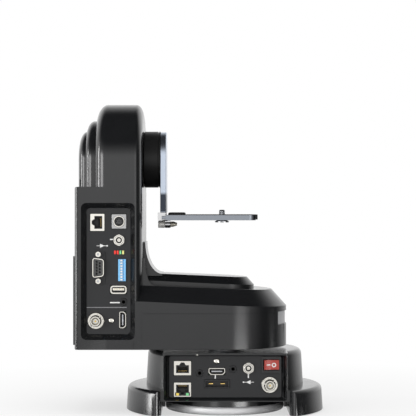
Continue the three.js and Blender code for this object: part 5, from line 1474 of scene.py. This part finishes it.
key = block("power_rocker_fine", 6.95, 4.5, -2.7, 0, 0.4, 3)
edit(key)
choose_side("Y", 1)
extrude(y=5)
resize(0.5, 1, 1)
done()
fit_key(key, 0, red_plastic, "power_rocker")
mark_shrink = 0.07
bar = box("power_rocker_bar", (-4.6, -3, -0.5), (-1.2, -1, 0.5))
fit_key(bar, mark_shrink, white_plastic, None)
ring_at = (2.3, -0.2)
ring = rod("power_rocker_ring", 2.1, -3, -1, "Y", ring_at, 48)
fit_key(bore(ring, 1.15, -4, 0, 48, ring_at), mark_shrink, white_plastic, None)

# %% [markdown]
# ## Small fasteners and printed lines
# Each panel has a round-headed screw with a cross recess, and a smaller one holds the bay.

# %% Screws
def round_screw(name, spot, radius=2.65):
    steps = [(1, radius), (-0.7, radius), (-1.05, radius * 0.93), (-1.3, radius * 0.75), (-1.4, radius * 0.4)]
    head = lathe(name, steps, "Y", sides=48)
    for half_x, half_z in ((0.2, 0.95), (0.95, 0.2)):
        carve(head, block("cross", half_x, half_z, -2, -0.6))
    fit(head, nickel, spot, angle=40)


round_screw("base_panel_screw", on_base(-8.1, 50.5))
round_screw("tower_panel_screw", on_tower(-106.1, 88.3))
round_screw("base_bay_screw", (-26.1, 57, bay_face, 0, "base"), 0.8)

# %% [markdown]
# The thin lines that lead to a socket, the divider and the two polarity signs are printed on the panels.
# They are sheets a few hundredths of a millimetre proud of the panel, joined into one piece for each print.

# %% Printed lines
ink_top, ink_root, sign_top = 0.06, 0.1, 0.07
sign_reach, arrow_half, line_half, dot_radius = 5.2, 1.9, 0.22, 0.75


def strip(name, x0, x1, z0, z1, face, raised=ink_top):
    return box(name, (x0, -face - raised, z0), (x1, ink_root - face, z1))


def polarity_sign(x, height, way, face):
    """A line with an arrow in its middle and a dot at the end that way points to."""
    arrow = strip("arrow", x - 2, x + 2, height - arrow_half, height + arrow_half, face, sign_top)
    edit(arrow)
    choose_side("X", way)
    resize(1, 1, 0.08, (0, 0, height))
    done()
    dot_at = (x + 4.6 * way, height)
    dot = rod("dot", dot_radius, -face - sign_top, ink_root - face, "Y", dot_at, 24)
    line = strip("line", x - sign_reach, x + sign_reach, height - line_half, height + line_half, face)
    return [line, arrow, dot]


def printed(name, face, body, material, lines, sign=None):
    """lines are x0, x1, z0, z1; the sign is its middle and its direction."""
    strips = [strip(name, *line, face) for line in lines] + (polarity_sign(*sign, face) if sign else [])
    bpy.ops.object.select_all(action="DESELECT")
    for part in strips:
        part.select_set(True)
    bpy.context.view_layer.objects.active = strips[0]
    bpy.ops.object.join()
    strips[0].name = name
    keep(dress(strips[0], material), body, None)


ink = grainy("white print", (0.7, 0.7, 0.69), (0.8, 0.8, 0.79), 0.5, 0.08, 1800, 0.004)
grey_ink = grainy("grey print", (0.2, 0.2, 0.21), (0.26, 0.26, 0.27), 0.5, 0.08, 1800, 0.004)
base_lines = [(-9.9, -8.8, 34.3, 38.0), (20.9, 22.0, 34.9, 38.6)]
printed("base_panel_lines", panel_face, "base", ink, base_lines, (21.5, 31.0, -1))
tower_lines = [(-107.3, -97.0, 104.4, 105.5), (-107.3, -104.4, 163.2, 164.3)]
printed("tower_panel_lines", tower_panel_face, "yoke", ink, tower_lines, (-114.6, 157.8, 1))
printed("tower_panel_divider", tower_panel_face, "yoke", grey_ink, [(-129.0, -91.8, 100.1, 100.8)])

# %% [markdown]
# ## The light and the camera
# The photograph is a studio picture on white. The camera stands square to the rear face, a long lens away.

# %% Camera
scene = bpy.context.scene
camera_data = bpy.data.cameras.new("camera")
camera_data.lens = 129.8
camera_data.sensor_width = 36
camera = bpy.data.objects.new("camera", camera_data)
camera.location = (-0.0161, -1.45, 0.193)
camera.rotation_euler = (math.pi / 2, 0, 0)
scene.collection.objects.link(camera)
scene.camera = camera
print("camera at", tuple(camera.location))

# %% [markdown]
# The world is plain white to the camera. Glossy paint mirrors its surroundings, so what the world shows to
# glossy rays matters: bright at eye level towards the camera, dark overhead, which keeps the sloping faces
# dark, and dark at both sides, which the lamps then fill with narrow bright strips.

# %% World
def seen_directly(tree, rays):
    """1 where the camera looks, also in a mirror or through glass, and 0 for the light itself."""
    kinds = ("Is Camera Ray", "Is Glossy Ray", "Is Transmission Ray")
    camera_ray, glossy_ray, glass_ray = [Value(tree, rays.outputs[kind]) for kind in kinds]
    return (camera_ray + glossy_ray + glass_ray).clamped()


def rise(value, start, run):
    """0 up to the start and 1 from start + run on, also downwards with a negative run."""
    return ((value - start) / run).clamped()


scene.view_settings.view_transform = "Standard"
world = bpy.data.worlds.new("studio")
scene.world = world
world.use_nodes = True
sky = world.node_tree
background = sky.nodes["Background"]
east, north, up = parts_of(sky, make(sky, "ShaderNodeTexCoord", {}).outputs["Generated"])
behind = (north * 1.5).clamped()
below_ceiling = (1.0 - (up - (behind * 0.44 + 0.06)) / 0.55).clamped() ** 1.3
above_floor = rise(up, -0.5, 0.3)
eye_level = (rise(up, -0.087, 0.105) * 0.75 + 0.95) * (1.0 - rise(north, 0.0, 0.4) * 0.3)
right_side = rise(east, 0.6, 0.36) * (1.0 - rise(north, 0.4, 0.45))
left_side = rise(east, -0.6, -0.36) * (1.0 - rise(north, 0.25, 0.35)) * rise(up, -0.03, -0.06)
sides = (1.0 - right_side * 0.95) * (1.0 - left_side * 0.9)
shade = below_ceiling * above_floor * eye_level * sides + 0.03
tone = make(sky, "ShaderNodeCombineColor", {}, shade, shade, shade).outputs[0]
rays = make(sky, "ShaderNodeLightPath", {})
connect(sky, mix_colors(sky, rays.outputs["Is Glossy Ray"], 1, tone), background.inputs["Color"])
connect(sky, seen_directly(sky, rays) * 0.5 + 0.5, background.inputs["Strength"])
print("world is ready")

# %% [markdown]
# The floor is pale and takes the object's shadow. Away from the object it fades into the white background,
# so that no horizon shows. Mirrored in the paint it would light the low faces, so glossy rays don't see it.

# %% Floor
bpy.ops.mesh.primitive_plane_add(size=30, location=(0, 0, 0))
floor = fresh("floor")
floor_white, tree, shader = surface("pale floor", 0.0, 0.1)
shader.inputs["Base Color"].default_value = rgba(0.9)
shader.inputs["Roughness"].default_value = 0.9
glow = make(tree, "ShaderNodeEmission", {}, Color=rgba(1), Strength=1.0)
x, y, z = parts_of(tree, position(tree))
away = rise((x * x + y * y) ** 0.5, 0.1, 0.35)
seen = seen_directly(tree, make(tree, "ShaderNodeLightPath", {}))
mixed = make(tree, "ShaderNodeMixShader", {}, seen * (away * 0.4 + 0.6), shader.outputs[0], glow.outputs[0])
connect(tree, mixed.outputs[0], tree.nodes["Material Output"].inputs["Surface"])
dress(floor, floor_white)
floor.visible_glossy = False
print("the floor is", round(floor.dimensions.x), "m wide")

# %% [markdown]
# The lamps stand in for the studio's soft boxes. The upright ones draw the long highlights on the tower and
# the arm. The low ones lie below the floor's level, where only the foot of the object mirrors them. The
# front box and the top fill give an even light and aren't mirrored.

# %% Lamps
def softbox(name, at, aim_height, width, height, watts, mirrored=True):
    light = bpy.data.lights.new(name, "AREA")
    light.shape = "RECTANGLE"
    light.size, light.size_y = width, height
    light.energy = watts
    lamp = bpy.data.objects.new(name, light)
    lamp.location = at
    lamp.rotation_euler = (Vector((0, 0, aim_height)) - Vector(at)).to_track_quat("-Z", "Y").to_euler()
    lamp.visible_glossy = mirrored
    lamp.visible_camera = False
    scene.collection.objects.link(lamp)


def low_strip(name, azimuth, width, watts):
    angle, low = math.radians(azimuth), -0.33
    softbox(name, (2 * math.sin(angle), -2 * math.cos(angle), low), low, width, 0.26, watts)


softbox("right strip", (0.95, -1.75, 0.35), 0.12, 0.5, 0.8, 1.2)
softbox("left strip", (-1.7, 0.12, 0.3), 0.12, 0.22, 0.7, 8.5)
softbox("left box", (-1.45, -1.2, 0.32), 0.15, 1.1, 0.5, 12)
softbox("front box", (-0.25, -2.4, 0.5), 0.15, 1.4, 0.5, 8, False)
softbox("top fill", (0.2, -0.6, 2.2), 0.1, 1.6, 1.6, 20, False)
low_strip("low right box", 30, 0.8, 10)
low_strip("low left box", -20, 0.45, 1.0)
low_strip("low right strip", 98, 0.2, 1.8)
low_strip("low left strip", -98, 0.14, 1.0)
print(len(bpy.data.lights), "lamps are ready")
